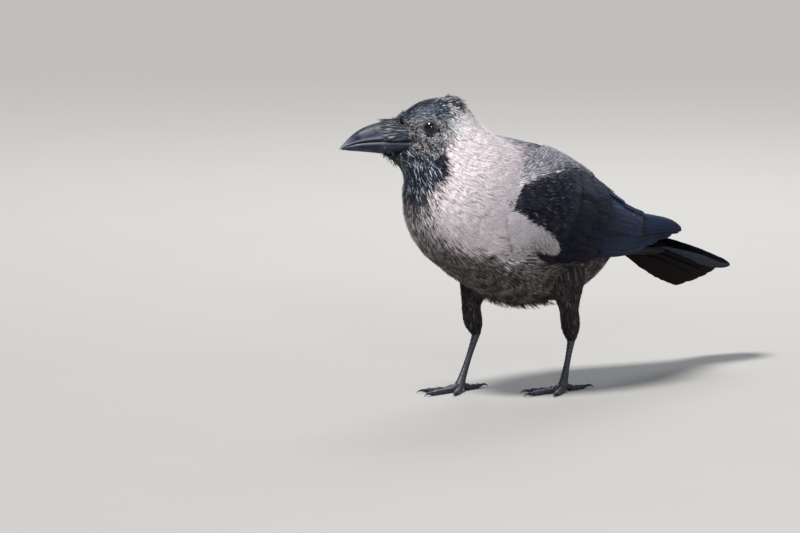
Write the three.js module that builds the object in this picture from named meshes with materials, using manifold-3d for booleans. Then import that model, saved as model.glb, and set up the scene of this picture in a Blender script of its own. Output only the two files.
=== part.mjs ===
// A house crow, life size, standing with one foot forward and its head turned to its right.
// Millimetres, +Z up. The body faces -X and its left side faces -Y. The origin is on the floor,
// under the middle of the whole bird's box.
import * as THREE from "three";
import { mergeVertices } from "three/addons/utils/BufferGeometryUtils.js";
import Module from "manifold-3d";

const wasm = await Module();
wasm.setup();

// ---- Driving dimensions ------------------------------------------------------------------

const gap = 0.3; // between touching nodes
const rad = Math.PI / 180;

// Body: drawn in straight profile, then the neck is turned about a vertical line through neckPivotX.
// Each row is one slice: its top and bottom points, half its width, the height of its widest level
// (0 bottom, 1 top) and the degrees that it is turned.
const neckPivotX = -85;
const bodySlices = table("topX topZ lowX lowZ half level turn", [
  [101, 126, 92, 103, 13, 0.5, 0], // tail root
  [78, 140, 68, 85, 26.5, 0.45, 0],
  [52, 155, 38, 69, 39, 0.43, 0],
  [24, 170.5, 8, 63, 44.5, 0.45, 0], // belly
  [-4, 181.5, -27, 66, 47, 0.47, 0],
  [-28, 187.5, -55, 76, 48, 0.5, 0],
  [-46, 192.5, -83, 90.5, 47, 0.54, 0], // breast
  [-57, 196, -109, 107.5, 44, 0.55, 3],
  [-63, 199.5, -122.5, 128, 38.5, 0.54, 12],
  [-68, 203.5, -125, 146.5, 31, 0.52, 24],
  [-72, 209, -123, 160, 25, 0.5, 36], // throat
  [-77, 215.5, -124.5, 169.5, 21, 0.52, 43],
  [-86.5, 222, -129, 174.5, 18.4, 0.55, 47], // eyes
  [-99, 222.2, -133, 177, 16.8, 0.57, 48],
  [-112.5, 218.6, -136, 179, 13.8, 0.57, 48],
  [-123, 211.5, -138, 181.5, 10.6, 0.55, 48],
  [-128, 206.6, -138, 186.5, 7, 0.5, 48], // inside the bill
]);
const bodySides = 24;
const ringsPerSlice = 2.5;
const torsoNeckSlice = 6.9;
const neckHeadSlice = 10.5;

// Bill, in the same straight profile: culmen, gape line and lower edge at each distance.
const billSlices = table("x culmen gape low half", [
  [-110, 203.5, 190.6, 181.5, 7],
  [-117.5, 206.3, 190.9, 180.3, 9.8],
  [-127, 206.7, 191.4, 180.3, 9.4],
  [-137, 205.1, 191.2, 180.9, 8.2],
  [-147, 202.5, 190.5, 181.9, 6.7],
  [-155.5, 198.7, 189.3, 182.7, 5.2],
  [-162.5, 193.5, 187.5, 183.2, 3.5],
  [-167.4, 188.3, 185.6, 183.8, 1.9],
  [-170.3, 184.8, 183.6, 183, 0.6],
]);
const lowerBillTipSlice = 7.3;
const billSides = 9;

// Eyes
const eyeX = -104;
const eyeZ = 201.4;
const eyeRadius = 6.4;
const eyeInset = 13.2; // centre of the eyeball from the middle of the head
const eyeForward = 10; // degrees that each eye looks forward of straight out
const lidRadius = 4.7;
const lidThickness = 0.9;

// Folded wings: a smooth shell round the back and flanks that the feathers lie on. Each row is one
// slice: the ridge, the widest level, half the width there, the drop from there to the lowest point,
// and the angles above the widest level between which the wing lies.
const wingSlices = table("topX topZ midX midZ half drop from to", [
  [-54, 187, -78, 150, 44.5, 48, -2, 26],
  [-30, 186, -48, 142, 54, 58, -28, 48],
  [2, 179.5, -15, 132, 56, 60, -36, 66],
  [35, 164.5, 18, 121, 53, 54, -34, 78],
  [67, 146, 52, 110, 45.5, 46, -25, 83],
  [98, 129.5, 87, 102.5, 35, 36, -18, 85],
  [129, 121, 120, 100, 26, 26, -9, 85],
  [157, 115.2, 151, 98, 19, 19, -4, 83],
  [176, 108, 171, 93, 13.5, 13, 0, 80],
]);
const wingCoreEnd = 3.7;
const wingCoreDepth = 9.5;
const wingCoreSink = 1.6; // how far the core lies under the shell
const featherThickness = 0.55;

// Tail
const tailRoot = new THREE.Vector3(94, 0, 113);
const tailSlope = 20; // degrees below level
const tailRoll = 25; // degrees, left edge up
const tailFeathers = 12;
const tailLength = 136;
const tailGraduation = 17; // how much shorter the outermost feathers are
const tailSpread = 2.75; // from each feather to the next, once clear of the body
const tailRootSpread = 0.35; // the same at the root
const tailOpen = 40; // distance along the tail at which it is fully spread
const tailMiddle = 2.2; // how far its middle lies to the left
const tailSkew = 0.17; // the right half is spread wider than the left half
const tailFeatherHalf = 8.6;
const tailFeatherPitch = 0.85; // from each feather to the one below it
const tailCoreLength = 56;
const tailJoint = 0.12; // slice of the body at which the tail begins

// Legs: feet on the floor, the right one forward.
const legs = {
  left: { side: -1, foot: [1, -31.5], ankle: [12.5, -29, 37], knee: [6, -32, 61], hip: [2, -31, 92] },
  right: { side: 1, foot: [-45, 28], ankle: [-32, 25, 41], knee: [-35, 27, 64], hip: [-22, 28, 92] },
};
const shinHalf = 7.2; // feathered shin, at its thickest
const tarsusRadius = 2.7;
const scutes = 7;
const scuteStep = 0.45;
const footHeight = 8.2;
const toeHeight = 1.6;
const toeRadius = 2.6;
// Each toe: its direction in degrees from straight ahead towards the outer side, its length and claw.
const toes = [
  { name: "inner", turn: -30, length: 25, claw: 9.5 },
  { name: "middle", turn: -2, length: 34, claw: 10.5 },
  { name: "outer", turn: 27, length: 27, claw: 9 },
  { name: "hind", turn: 177, length: 20, claw: 12.5 },
];

// ---- Numbers -----------------------------------------------------------------------------

// Rows of numbers as objects keyed by the column names.
function table(names, rows) {
  const keys = names.split(" ");
  return rows.map((row) => Object.fromEntries(keys.map((key, i) => [key, row[i]])));
}

// A smooth curve through the rows of a table, read at row number t.
function slice(rows, t) {
  const last = rows.length - 1;
  const i = Math.min(Math.max(Math.floor(t), 0), last - 1);
  const f = t - i;
  const row = (k) => rows[Math.min(Math.max(k, 0), last)];
  const made = {};
  for (const key of Object.keys(rows[0])) {
    const [a, b, c, d] = [row(i - 1)[key], row(i)[key], row(i + 1)[key], row(i + 2)[key]];
    made[key] = b + 0.5 * f * (c - a + f * (2 * a - 5 * b + 4 * c - d + f * (3 * (b - c) + d - a)));
  }
  return made;
}

const mix = (a, b, f) => a + (b - a) * f;
const steps = (n, make) => Array.from({ length: n + 1 }, (_, i) => make(i / n, i));
const point = (x, y, z) => new THREE.Vector3(x, y, z);

// ---- Surfaces ----------------------------------------------------------------------------

// Turns a point of the straight profile about the vertical line through the neck.
function turned(p, degrees) {
  const pivot = point(neckPivotX, 0, 0);
  return p.sub(pivot).applyAxisAngle(point(0, 0, 1), -degrees * rad).add(pivot);
}

// A point of the body's surface: t counts slices from the tail root to the bill, and angle runs from
// the left side (0) over the top (90) to the right side (180) and underneath.
function bodyPoint(t, angle, lift = 0) {
  const s = slice(bodySlices, t);
  const top = point(s.topX, 0, s.topZ);
  const low = point(s.lowX, 0, s.lowZ);
  const middle = low.clone().lerp(top, s.level);
  const end = Math.sin(angle * rad) > 0 ? top : low;
  const reach = end.distanceTo(middle);
  const p = middle.clone().addScaledVector(
    end.clone().sub(middle),
    Math.abs(Math.sin(angle * rad)) * ((reach + lift) / reach),
  );
  p.y = -(s.half + lift) * Math.cos(angle * rad);
  return turned(p, s.turn);
}

// A point of the shell that a folded wing lies on. side is -1 for the left wing; across runs from
// the wing's lower edge (0) to its upper edge (1).
function wingPoint(side, t, across, lift = 0) {
  const s = slice(wingSlices, t);
  const angle = mix(s.from, s.to, across) * rad;
  const middle = point(s.midX, 0, s.midZ);
  const up = point(s.topX, 0, s.topZ).sub(middle);
  const rise = Math.sin(angle) * (Math.sin(angle) > 0 ? up.length() + lift : s.drop + lift);
  const p = middle.addScaledVector(up.normalize(), rise);
  p.y = side * (s.half + lift) * Math.cos(angle);
  return p;
}

// A point over the tail: along the tail from its root, sideways to the left, and up from it. The
// tail rolls more towards its tip, and its outer parts droop.
function tailPoint(along, left, up) {
  const slope = tailSlope * rad;
  const roll = tailRoll * rad * THREE.MathUtils.smoothstep(along, 0, tailLength * 0.7);
  const axis = point(Math.cos(slope), 0, -Math.sin(slope));
  const flatLeft = point(0, -1, 0);
  const flatUp = point(Math.sin(slope), 0, Math.cos(slope));
  const leftAxis = flatLeft.clone().multiplyScalar(Math.cos(roll)).addScaledVector(flatUp, Math.sin(roll));
  const upAxis = flatUp.clone().multiplyScalar(Math.cos(roll)).addScaledVector(flatLeft, -Math.sin(roll));
  const droop = (left * left) / 120;
  return tailRoot
    .clone()
    .addScaledVector(axis, along)
    .addScaledVector(leftAxis, left)
    .addScaledVector(upAxis, up - droop);
}

// ---- Solids ------------------------------------------------------------------------------

// A closed geometry as a manifold-3d solid, whichever way its faces were wound.
function solid(geometry) {
  const bare = geometry.clone();
  bare.deleteAttribute("normal");
  bare.deleteAttribute("uv");
  const merged = mergeVertices(bare, 1e-4);
  const triVerts = new Uint32Array(merged.index.array);
  const vertProperties = merged.attributes.position.array;
  const made = new wasm.Manifold(new wasm.Mesh({ numProp: 3, vertProperties, triVerts }));
  if (made.volume() > 0) return made;
  for (let i = 0; i < triVerts.length; i += 3)
    [triVerts[i + 1], triVerts[i + 2]] = [triVerts[i + 2], triVerts[i + 1]];
  return new wasm.Manifold(new wasm.Mesh({ numProp: 3, vertProperties, triVerts }));
}

function indexed(points, faces) {
  const geometry = new THREE.BufferGeometry().setFromPoints(points);
  geometry.setIndex(faces.flat());
  return geometry;
}

// A closed skin over rings of points, each end closed by a fan about its middle.
function loft(rings) {
  const sides = rings[0].length;
  const points = rings.flat();
  const faces = [];
  for (let r = 0; r + 1 < rings.length; r++)
    for (let i = 0; i < sides; i++) {
      const [a, b] = [r * sides + i, r * sides + ((i + 1) % sides)];
      faces.push([a, b, b + sides], [a, b + sides, a + sides]);
    }
  for (const [r, flip] of [[0, true], [rings.length - 1, false]]) {
    const middle = rings[r].reduce((sum, p) => sum.add(p), point(0, 0, 0)).divideScalar(sides);
    const hub = points.push(middle) - 1;
    for (let i = 0; i < sides; i++) {
      const [a, b] = [r * sides + i, r * sides + ((i + 1) % sides)];
      faces.push(flip ? [hub, b, a] : [hub, a, b]);
    }
  }
  return solid(indexed(points, faces));
}

// A thin closed sheet between two equal grids of points, with the same triangles on both faces.
function sheet(upper, lower) {
  const [rows, columns] = [upper.length, upper[0].length];
  const points = [...upper.flat(), ...lower.flat()];
  const at = (r, c) => r * columns + c;
  const under = rows * columns;
  const faces = [];
  for (let r = 0; r + 1 < rows; r++)
    for (let c = 0; c + 1 < columns; c++) {
      const [a, b, d, e] = [at(r, c), at(r, c + 1), at(r + 1, c + 1), at(r + 1, c)];
      faces.push([a, b, d], [a, d, e]);
      faces.push([under + b, under + a, under + d], [under + d, under + a, under + e]);
    }
  const edge = (a, b) => faces.push([b, a, under + a], [b, under + a, under + b]);
  for (let c = 0; c + 1 < columns; c++) {
    edge(at(0, c), at(0, c + 1));
    edge(at(rows - 1, c + 1), at(rows - 1, c));
  }
  for (let r = 0; r + 1 < rows; r++) {
    edge(at(r + 1, 0), at(r, 0));
    edge(at(r, columns - 1), at(r + 1, columns - 1));
  }
  return solid(indexed(points, faces));
}

// One feather's vane. place(f, across, up) gives a point at share f of its length, across mm from
// its shaft and up mm from the surface. It is widest at share widest, and its tip is round.
function vane({ place, half, rows = 5, widest = 0.6, blunt = 0.25, lean = 0, arch = 0.5 }) {
  const grid = (under) =>
    steps(rows, (u) => {
      const f = 1 - (1 - u) ** 1.25;
      const grow = THREE.MathUtils.smoothstep(f, -0.35, widest);
      const tip = Math.sqrt(Math.max(0, 1 - Math.max(0, (f - 1 + blunt) / blunt) ** 2));
      const w = half * grow * Math.max(tip, 0.12);
      return [-1, 0, 1].map((k) => place(f, k * w, lean * k * w - (k ? arch : 0) - under));
    });
  return sheet(grid(0), grid(featherThickness));
}

// A round tube of given radii along points, as rings that face along it.
function tube(path, radii, sides, shape = (p) => p) {
  const rings = path.map((p, i) => {
    const ahead = path[Math.min(i + 1, path.length - 1)].clone().sub(path[Math.max(i - 1, 0)]).normalize();
    const across = point(0, 1, 0).addScaledVector(ahead, -ahead.y).normalize();
    const up = ahead.clone().cross(across);
    const [w, h] = [radii[i], radii[i]].flat();
    return steps(sides - 1, (_, k) => {
      const a = (2 * Math.PI * (k + 0.5)) / sides;
      const q = p.clone().addScaledVector(across, w * Math.cos(a)).addScaledVector(up, h * Math.sin(a));
      return shape(q, i, a);
    });
  });
  return loft(rings);
}

const joined = (solids) => wasm.Manifold.union(solids);
const largest = (made) => made.decompose().sort((a, b) => b.volume() - a.volume())[0];

// ---- Body --------------------------------------------------------------------------------

function bodyLoft(lift = 0) {
  const count = Math.round((bodySlices.length - 1) * ringsPerSlice);
  return loft(
    steps(count, (u) => {
      const t = u * (bodySlices.length - 1);
      return steps(bodySides - 1, (_, k) => bodyPoint(t, (360 * k) / bodySides, lift));
    }),
  );
}

// The plane of the body's slice at t, facing the head, as trimByPlane takes it.
function slicePlane(t) {
  const [top, low, side] = [bodyPoint(t, 90), bodyPoint(t, 270), bodyPoint(t, 0)];
  const normal = side.clone().sub(low).cross(top.clone().sub(low)).normalize();
  const facing = bodyPoint(t + 0.5, 90).sub(top).dot(normal) > 0 ? normal : normal.negate();
  return { normal: facing.toArray(), offset: facing.dot(top), back: facing.clone().negate().toArray() };
}

function ahead(made, t) {
  const { normal, offset } = slicePlane(t);
  return made.trimByPlane(normal, offset + gap / 2);
}

function behind(made, t) {
  const { back, offset } = slicePlane(t);
  return made.trimByPlane(back, gap / 2 - offset);
}

// ---- Bill --------------------------------------------------------------------------------

// One mandible: its rings run from the gape line round the culmen (upper) or the lower edge.
function mandible(upper, grow = 0) {
  const last = upper ? billSlices.length - 1 : lowerBillTipSlice;
  const rings = steps(9, (u) => {
    const s = slice(billSlices, u * last);
    const split = s.gape + (upper ? gap / 2 - grow : -gap / 2 + grow);
    const half = (upper ? s.half : s.half * 0.9) + grow;
    const reach = upper ? s.culmen - split + grow : split - s.low + grow;
    return steps(billSides - 1, (_, k) => {
      const a = (k / (billSides - 1)) * Math.PI;
      const rise = Math.sin(a) ** 0.85 * Math.max(reach, 0.3);
      return turned(point(s.x, -half * Math.cos(a), split + (upper ? rise : -rise)), headTurn);
    });
  });
  return loft(rings);
}

const headTurn = bodySlices[bodySlices.length - 1].turn;

// ---- Eyes --------------------------------------------------------------------------------

function eyeFrame(side) {
  const centre = turned(point(eyeX, side * eyeInset, eyeZ), headTurn);
  const outwards = point(-Math.sin(eyeForward * rad), side * Math.cos(eyeForward * rad), 0.06);
  const axis = outwards.normalize().applyAxisAngle(point(0, 0, 1), -headTurn * rad);
  return { centre, turn: new THREE.Quaternion().setFromUnitVectors(point(0, 0, 1), axis) };
}

function eyeball(side, grow = 0) {
  const { centre, turn } = eyeFrame(side);
  const geometry = new THREE.SphereGeometry(eyeRadius + grow, 14, 9);
  geometry.rotateX(Math.PI / 2).applyQuaternion(turn).translate(...centre);
  return solid(geometry);
}

function lid(side) {
  const { centre, turn } = eyeFrame(side);
  const geometry = new THREE.TorusGeometry(lidRadius, lidThickness, 6, 14);
  const out = Math.sqrt(eyeRadius ** 2 - lidRadius ** 2);
  geometry.translate(0, 0, out).applyQuaternion(turn).translate(...centre);
  return solid(geometry);
}

// ---- Bristles over the nostrils ----------------------------------------------------------

// Flat tapered locks that grow from the forehead and lie forward over the base of the bill.
function bristles(side) {
  return steps(3, (f) => {
    const rootZ = mix(203, 193, f);
    const reach = mix(15, 10, f);
    const place = (u, across, up) => {
      const x = mix(-121, -127 - reach, u);
      const z = rootZ + mix(1.5, -1.5 - 2 * (1 - f), u) + across;
      const bill = slice(billSlices, billSliceAt(x));
      const height = THREE.MathUtils.clamp((z - bill.gape) / (bill.culmen - bill.gape), 0, 0.97);
      const half = bill.half * Math.sqrt(1 - height ** 2.2);
      return turned(point(x, side * (half + 1 + up + 1.4 * (1 - u) * u), z), headTurn);
    };
    return vane({ place, half: 2, rows: 3, widest: 0.3, blunt: 0.7, arch: 0.1 });
  });
}

// The row number of the bill's table at a distance x.
function billSliceAt(x) {
  const k = billSlices.findIndex((row) => row.x < x);
  const [a, b] = [billSlices[k - 1], billSlices[k]];
  return k - 1 + (a.x - x) / (a.x - b.x);
}

// ---- Wings -------------------------------------------------------------------------------

// The folded arm, which the feathers grow from: it ends before half their length.
function wingCore(side) {
  const lift = (t, across, inner) => {
    const edge = Math.abs(2 * across - 1) ** 10;
    const front = Math.max(0, 1 - t / 0.3) ** 2;
    const rear = Math.max(0, t - wingCoreEnd + 1) ** 2;
    return inner ? 3 * rear - wingCoreDepth : -wingCoreSink - 4 * edge - 4 * front - 1.5 * rear;
  };
  const grid = (inner) =>
    steps(7, (u) =>
      steps(5, (across) => {
        const t = mix(0.02, wingCoreEnd, u);
        return wingPoint(side, t, across, lift(t, across, inner));
      }),
    );
  return sheet(grid(false), grid(true));
}

// A row of feathers on the wing. root, tip, half, and lift are given for a feather's share of the way
// from the lowest of the row (0) to the highest (1): root and tip as [t, across], half as half its
// width and lift as the height of its tip. Each rises out of the core towards its tip, as tiles do,
// and its lower edge is tilted up over the next one down.
function wingFeathers(side, tier) {
  const { count, root, tip, half, lift, blunt } = tier;
  const { rise = () => 3.5, rows = 3, lean = 0.13, arch = 0.15 } = tier;
  return steps(count - 1, (f) => {
    const [t0, a0] = root(f);
    const [t1, a1] = tip(f);
    const place = (u, across, up) => {
      const t = mix(t0, t1, u);
      const q = mix(a0, a1, u ** 0.8);
      const height = lift(f) - rise(f) * (1 - u) ** 1.3;
      const perAcross = wingPoint(side, t, q + 0.05).distanceTo(wingPoint(side, t, q - 0.05)) * 10;
      return wingPoint(side, t, q + across / perAcross, height + up);
    };
    return vane({ place, half: half(f), rows, blunt, widest: 0.5, lean: -lean, arch });
  });
}

// Tips of the primaries, from the outermost and lowest to the innermost, as [t, across].
const primaryTips = [
  [5.5, 0.05],
  [6.5, 0.14],
  [7.3, 0.34],
  [7.55, 0.52],
  [7.4, 0.66],
  [7.1, 0.76],
  [6.5, 0.83],
];

const wingTiers = [
  {
    name: "primaries",
    count: primaryTips.length,
    root: (f) => [mix(2.8, 3.1, f), mix(0.07, 0.5, f)],
    tip: (f) => primaryTips[Math.round(f * (primaryTips.length - 1))],
    half: (f) => mix(4.6, 7.4, f),
    lift: (f) => mix(-7.7, -2.6, f),
    rise: () => 0,
    rows: 5,
    blunt: 0.14,
    lean: 0,
    arch: 0,
  },
  {
    name: "secondaries",
    count: 5,
    root: (f) => [mix(2.3, 3, f), mix(0.14, 0.68, f)],
    tip: (f) => [mix(4.9, 5.4, f), mix(0.13, 0.66, f)],
    half: (f) => mix(8, 8.5, f),
    lift: (f) => mix(-1.9, -0.9, f),
    rise: () => 2,
    rows: 4,
    blunt: 0.2,
    lean: 0.09,
  },
  {
    name: "tertials",
    count: 3,
    root: (f) => [mix(2.7, 2.3, f), mix(0.76, 0.88, f)],
    tip: (f) => [mix(5.3, 4.4, f), mix(0.76, 0.84, f)],
    half: (f) => mix(8.8, 9.6, f),
    lift: (f) => mix(0.5, 2.2, f),
    rise: () => 4.6,
    rows: 4,
    blunt: 0.3,
    lean: 0.04,
  },
  {
    name: "greater coverts",
    count: 5,
    root: (f) => [mix(2, 2.5, f), mix(0.13, 0.8, f)],
    tip: (f) => [mix(3.05, 3.7, f), mix(0.1, 0.74, f)],
    half: (f) => mix(8, 9.4, f),
    lift: () => 1.1,
    blunt: 0.4,
  },
  {
    name: "median coverts",
    count: 4,
    root: (f) => [mix(1.25, 1.8, f), mix(0.15, 0.82, f)],
    tip: (f) => [mix(2.25, 2.8, f), mix(0.12, 0.76, f)],
    half: (f) => mix(9, 10.6, f),
    lift: () => 1.1,
    blunt: 0.5,
  },
  {
    name: "lesser coverts",
    count: 4,
    root: (f) => [mix(0.65, 1.1, f), mix(0.16, 0.84, f)],
    tip: (f) => [mix(1.5, 2.05, f), mix(0.14, 0.79, f)],
    half: (f) => mix(8.6, 10.2, f),
    lift: () => 1.1,
    blunt: 0.5,
  },
  {
    name: "marginal coverts",
    count: 3,
    root: (f) => [mix(0.15, 0.5, f), mix(0.2, 0.86, f)],
    tip: (f) => [mix(0.85, 1.3, f), mix(0.17, 0.82, f)],
    half: (f) => mix(8, 9.6, f),
    lift: () => 1,
    rise: () => 4.6,
    blunt: 0.5,
  },
  {
    name: "primary coverts",
    count: 2,
    root: (f) => [mix(1.3, 1.7, f), mix(0.05, 0.13, f)],
    tip: (f) => [mix(2.7, 3.5, f), mix(0.02, 0.08, f)],
    half: () => 4,
    lift: (f) => mix(-2.2, -0.4, f),
    rise: () => 2.4,
    blunt: 0.3,
  },
  {
    name: "scapulars",
    count: 3,
    root: (f) => [mix(0.8, 2.1, f), mix(0.91, 0.94, f)],
    tip: (f) => [mix(2.2, 4, f), mix(0.88, 0.9, f)],
    half: (f) => mix(9, 9.6, f),
    lift: (f) => mix(2.4, 2.8, f),
    rise: () => 6.5,
    blunt: 0.5,
    lean: 0.06,
  },
];

function wing(side) {
  return joined([wingCore(side), ...wingTiers.flatMap((tier) => wingFeathers(side, tier))]);
}

// ---- Tail --------------------------------------------------------------------------------

// Half the height of the tail's core, and how far its middle sinks, at a distance along the tail.
function tailCoreHeight(along) {
  const u = THREE.MathUtils.clamp((along + 14) / (tailCoreLength + 14), 0, 1);
  return { half: mix(15, 4.2, u ** 0.9), sink: 3.5 * u };
}

function tailCore() {
  return loft(
    steps(6, (u) => {
      const along = mix(-14, tailCoreLength, u);
      const { half, sink } = tailCoreHeight(along);
      const w = 15.5 * Math.sqrt(1 - 0.55 * u ** 3);
      return steps(13, (_, k) => {
        const a = (2 * Math.PI * k) / 14;
        return tailPoint(along, w * Math.cos(a), half * Math.sin(a) - sink);
      });
    }),
  );
}

// Tail feathers from the central pair, which lies on top, to the outermost.
function tailFan12() {
  const middle = (tailFeathers - 1) / 2;
  return steps(tailFeathers - 1, (_, k) => {
    const out = k - middle;
    const rank = Math.abs(out) / middle;
    const order = 2 * Math.floor(Math.abs(out)) + (out > 0 ? 1 : 0);
    const length = tailLength - tailGraduation * rank ** 3;
    const start = 24;
    const place = (f, across, up) => {
      const along = mix(start, length, f);
      const open = THREE.MathUtils.smoothstep(along, 0, tailOpen);
      const apart = out * mix(tailRootSpread, tailSpread, open);
      const left = apart + (tailMiddle - tailSkew * out ** 2) * open + across;
      const sunk = -2 * (1 - THREE.MathUtils.smoothstep(f, 0, 0.2));
      return tailPoint(along, left, 4.5 - order * tailFeatherPitch + sunk + up);
    };
    return vane({ place, half: tailFeatherHalf - rank, rows: 4, widest: 0.75, blunt: 0.14, arch: 0.25 });
  });
}

// Coverts over and under the root of the tail, that rise from the core towards their tips.
function tailCoverts(above) {
  return steps(2, (f) => {
    const place = (u, across, up) => {
      const along = mix(8, mix(50, 62, Math.sin(Math.PI * f)), u);
      const left = mix(-1, 1, f) * mix(7, 9, u) + across;
      const { half, sink } = tailCoreHeight(along);
      const height = half - 2.4 + 4 * u - Math.abs(2 * f - 1) * 1.5;
      return tailPoint(along, left, above ? height + up - sink : -height - up - sink);
    };
    return vane({ place, half: 7, rows: 3, widest: 0.5, blunt: 0.5 });
  });
}

// ---- Legs --------------------------------------------------------------------------------

// The feathered shin, from inside the body down over the heel joint.
function shin({ hip, knee, ankle }, grow = 0) {
  const curve = new THREE.CatmullRomCurve3([point(...hip), point(...knee), point(...ankle)]);
  const rings = steps(10, (u) => curve.getPoint(u));
  rings[10].addScaledVector(curve.getTangent(1), grow);
  const radii = steps(10, (u) => {
    const taper = THREE.MathUtils.smoothstep(u, 0.72, 1.04);
    const thigh = 1 - THREE.MathUtils.smoothstep(u, 0.1, 0.55);
    const [across, along] = [shinHalf + 6 * thigh, shinHalf + 11 * thigh];
    return [mix(across, 3.2, taper) + grow, mix(along, 3.3, taper) + grow];
  });
  return tube(rings, radii, 11);
}

// The bare shank: round at the back, with overlapping plates down its front.
function tarsus(leg) {
  const top = point(...leg.ankle);
  const base = point(leg.foot[0], leg.foot[1], footHeight);
  const count = scutes * 2;
  const path = steps(count, (u) => top.clone().lerp(base, u));
  const radii = steps(count, (u) => tarsusRadius * (1.12 - 0.35 * Math.sin(Math.PI * mix(0.08, 0.95, u))));
  const raised = (p, i, a) => {
    const front = Math.max(0, -Math.sin(a));
    const centre = path[i];
    const grow = 1 + (i % 2 ? scuteStep / tarsusRadius : 0) * front ** 0.5;
    return p.sub(centre).multiplyScalar(grow).add(centre);
  };
  return tube(path, radii, 9, raised).subtract(shin(leg, gap));
}

// A toe's middle line, from the foot's hub to the root of its claw, resting on the floor.
function toePath(leg, toe) {
  const heading = (180 + leg.side * -toe.turn) * rad;
  const ahead = point(Math.cos(heading), Math.sin(heading), 0);
  const hub = point(leg.foot[0], leg.foot[1], footHeight / 2);
  return {
    ahead,
    path: steps(5, (u) => {
      const p = hub.clone().addScaledVector(ahead, u * toe.length);
      p.z = mix(hub.z, toeHeight, THREE.MathUtils.smoothstep(u, 0, 0.5));
      return p;
    }),
  };
}

// Three toes forward and one back, with swollen joints and flat soles, under a rounded hub.
function foot(leg) {
  const solids = toes.map((toe) => {
    const { path } = toePath(leg, toe);
    const radii = steps(5, (u, i) => toeRadius * mix(1.05, 0.78, u) * (i % 2 ? 1.08 : 0.93));
    return tube(path, radii, 8, (p) => point(p.x, p.y, Math.max(p.z, 0)));
  });
  const [x, y] = leg.foot;
  const ankleward = point(...leg.ankle).sub(point(x, y, footHeight)).normalize();
  const hubPath = [-6.4, -4.2, -2, 0].map((d) => point(x, y, footHeight).addScaledVector(ankleward, d - gap));
  solids.push(tube(hubPath, [3.6, 4, 3.6, 2.8], 10, (p) => point(p.x, p.y, Math.max(p.z, 0))));
  return joined(solids);
}

// A curved claw, face to face with the end of its toe.
function claw(leg, toe) {
  const { ahead, path } = toePath(leg, toe);
  const root = path[path.length - 1].clone().addScaledVector(ahead, gap);
  const bend = steps(4, (u) => {
    const p = root.clone().addScaledVector(ahead, toe.claw * u);
    p.z += toe.claw * (0.5 - 0.62 * u) * u * u;
    return p;
  });
  const radii = steps(4, (u) => mix(1.55, 0.35, u ** 1.2));
  return tube(bend, radii, 5, (p) => point(p.x, p.y, Math.max(p.z, 0)));
}

// ---- Assembly ----------------------------------------------------------------------------

const skin = (color, roughness) => new THREE.MeshStandardMaterial({ color, roughness, metalness: 0 });
const finishes = {
  black: skin(0x14161c, 0.45),
  grey: skin(0x8d8480, 0.85),
  breast: skin(0x6f6560, 0.85),
  bill: skin(0x15161a, 0.3),
  eye: skin(0x0a0605, 0.05),
  leg: skin(0x23252e, 0.5),
};

const bird = new THREE.Group();

function add(name, made, finish) {
  const { vertProperties, triVerts } = largest(made).getMesh();
  const geometry = new THREE.BufferGeometry();
  geometry.setAttribute("position", new THREE.BufferAttribute(new Float32Array(vertProperties), 3));
  geometry.setIndex(new THREE.BufferAttribute(new Uint32Array(triVerts), 1));
  geometry.computeVertexNormals();
  const mesh = new THREE.Mesh(geometry, finishes[finish]);
  mesh.name = name;
  bird.add(mesh);
}

const body = bodyLoft();
const bodyRoom = bodyLoft(gap);
const eyes = [-1, 1].map((side) => eyeball(side));
const eyeRooms = joined([-1, 1].map((side) => eyeball(side, gap)));
const billRoom = joined([mandible(true, gap), mandible(false, gap)]);

const faceFeathers = [-1, 1].flatMap((side) => [lid(side), ...bristles(side)]);
const head = joined([ahead(body, neckHeadSlice), ...faceFeathers]);
add("head", head.subtract(billRoom).subtract(eyeRooms), "black");
add("neck", behind(ahead(body, torsoNeckSlice), neckHeadSlice), "grey");
add("torso", ahead(behind(body, torsoNeckSlice), tailJoint), "breast");
add("upper_bill", mandible(true), "bill");
add("lower_bill", mandible(false), "bill");
add("left_eye", eyes[0], "eye");
add("right_eye", eyes[1], "eye");

const tail = joined([tailCore(), ...tailFan12(), ...tailCoverts(true), ...tailCoverts(false)]);
add("tail", tail.subtract(ahead(bodyRoom, tailJoint)), "black");

for (const [name, side] of [["left_wing", -1], ["right_wing", 1]])
  add(name, wing(side).subtract(bodyRoom).trimByPlane([0, side, 0], 0.25), "black");

for (const [name, leg] of Object.entries(legs)) {
  add(`${name}_thigh`, shin(leg).subtract(bodyRoom), "breast");
  add(`${name}_tarsus`, tarsus(leg), "leg");
  add(`${name}_foot`, foot(leg), "leg");
  for (const toe of toes) add(`${name}_${toe.name}_claw`, claw(leg, toe), "bill");
}

// The origin goes on the floor, under the middle of the bird's box.
const box = new THREE.Box3().setFromObject(bird);
bird.position.set(-(box.min.x + box.max.x) / 2, -(box.min.y + box.max.y) / 2, 0);

export default bird;
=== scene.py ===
"""A house crow, life size: the plumage, bill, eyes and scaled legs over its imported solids.

Tables and sizes of the bird are in millimetres, as it is drawn, with its body facing -X and its
left side facing -Y. The pieces are made in metres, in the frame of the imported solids.
"""

import math

import bpy
import numpy as np
from mathutils import Matrix, Vector
from mathutils.kdtree import KDTree


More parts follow.
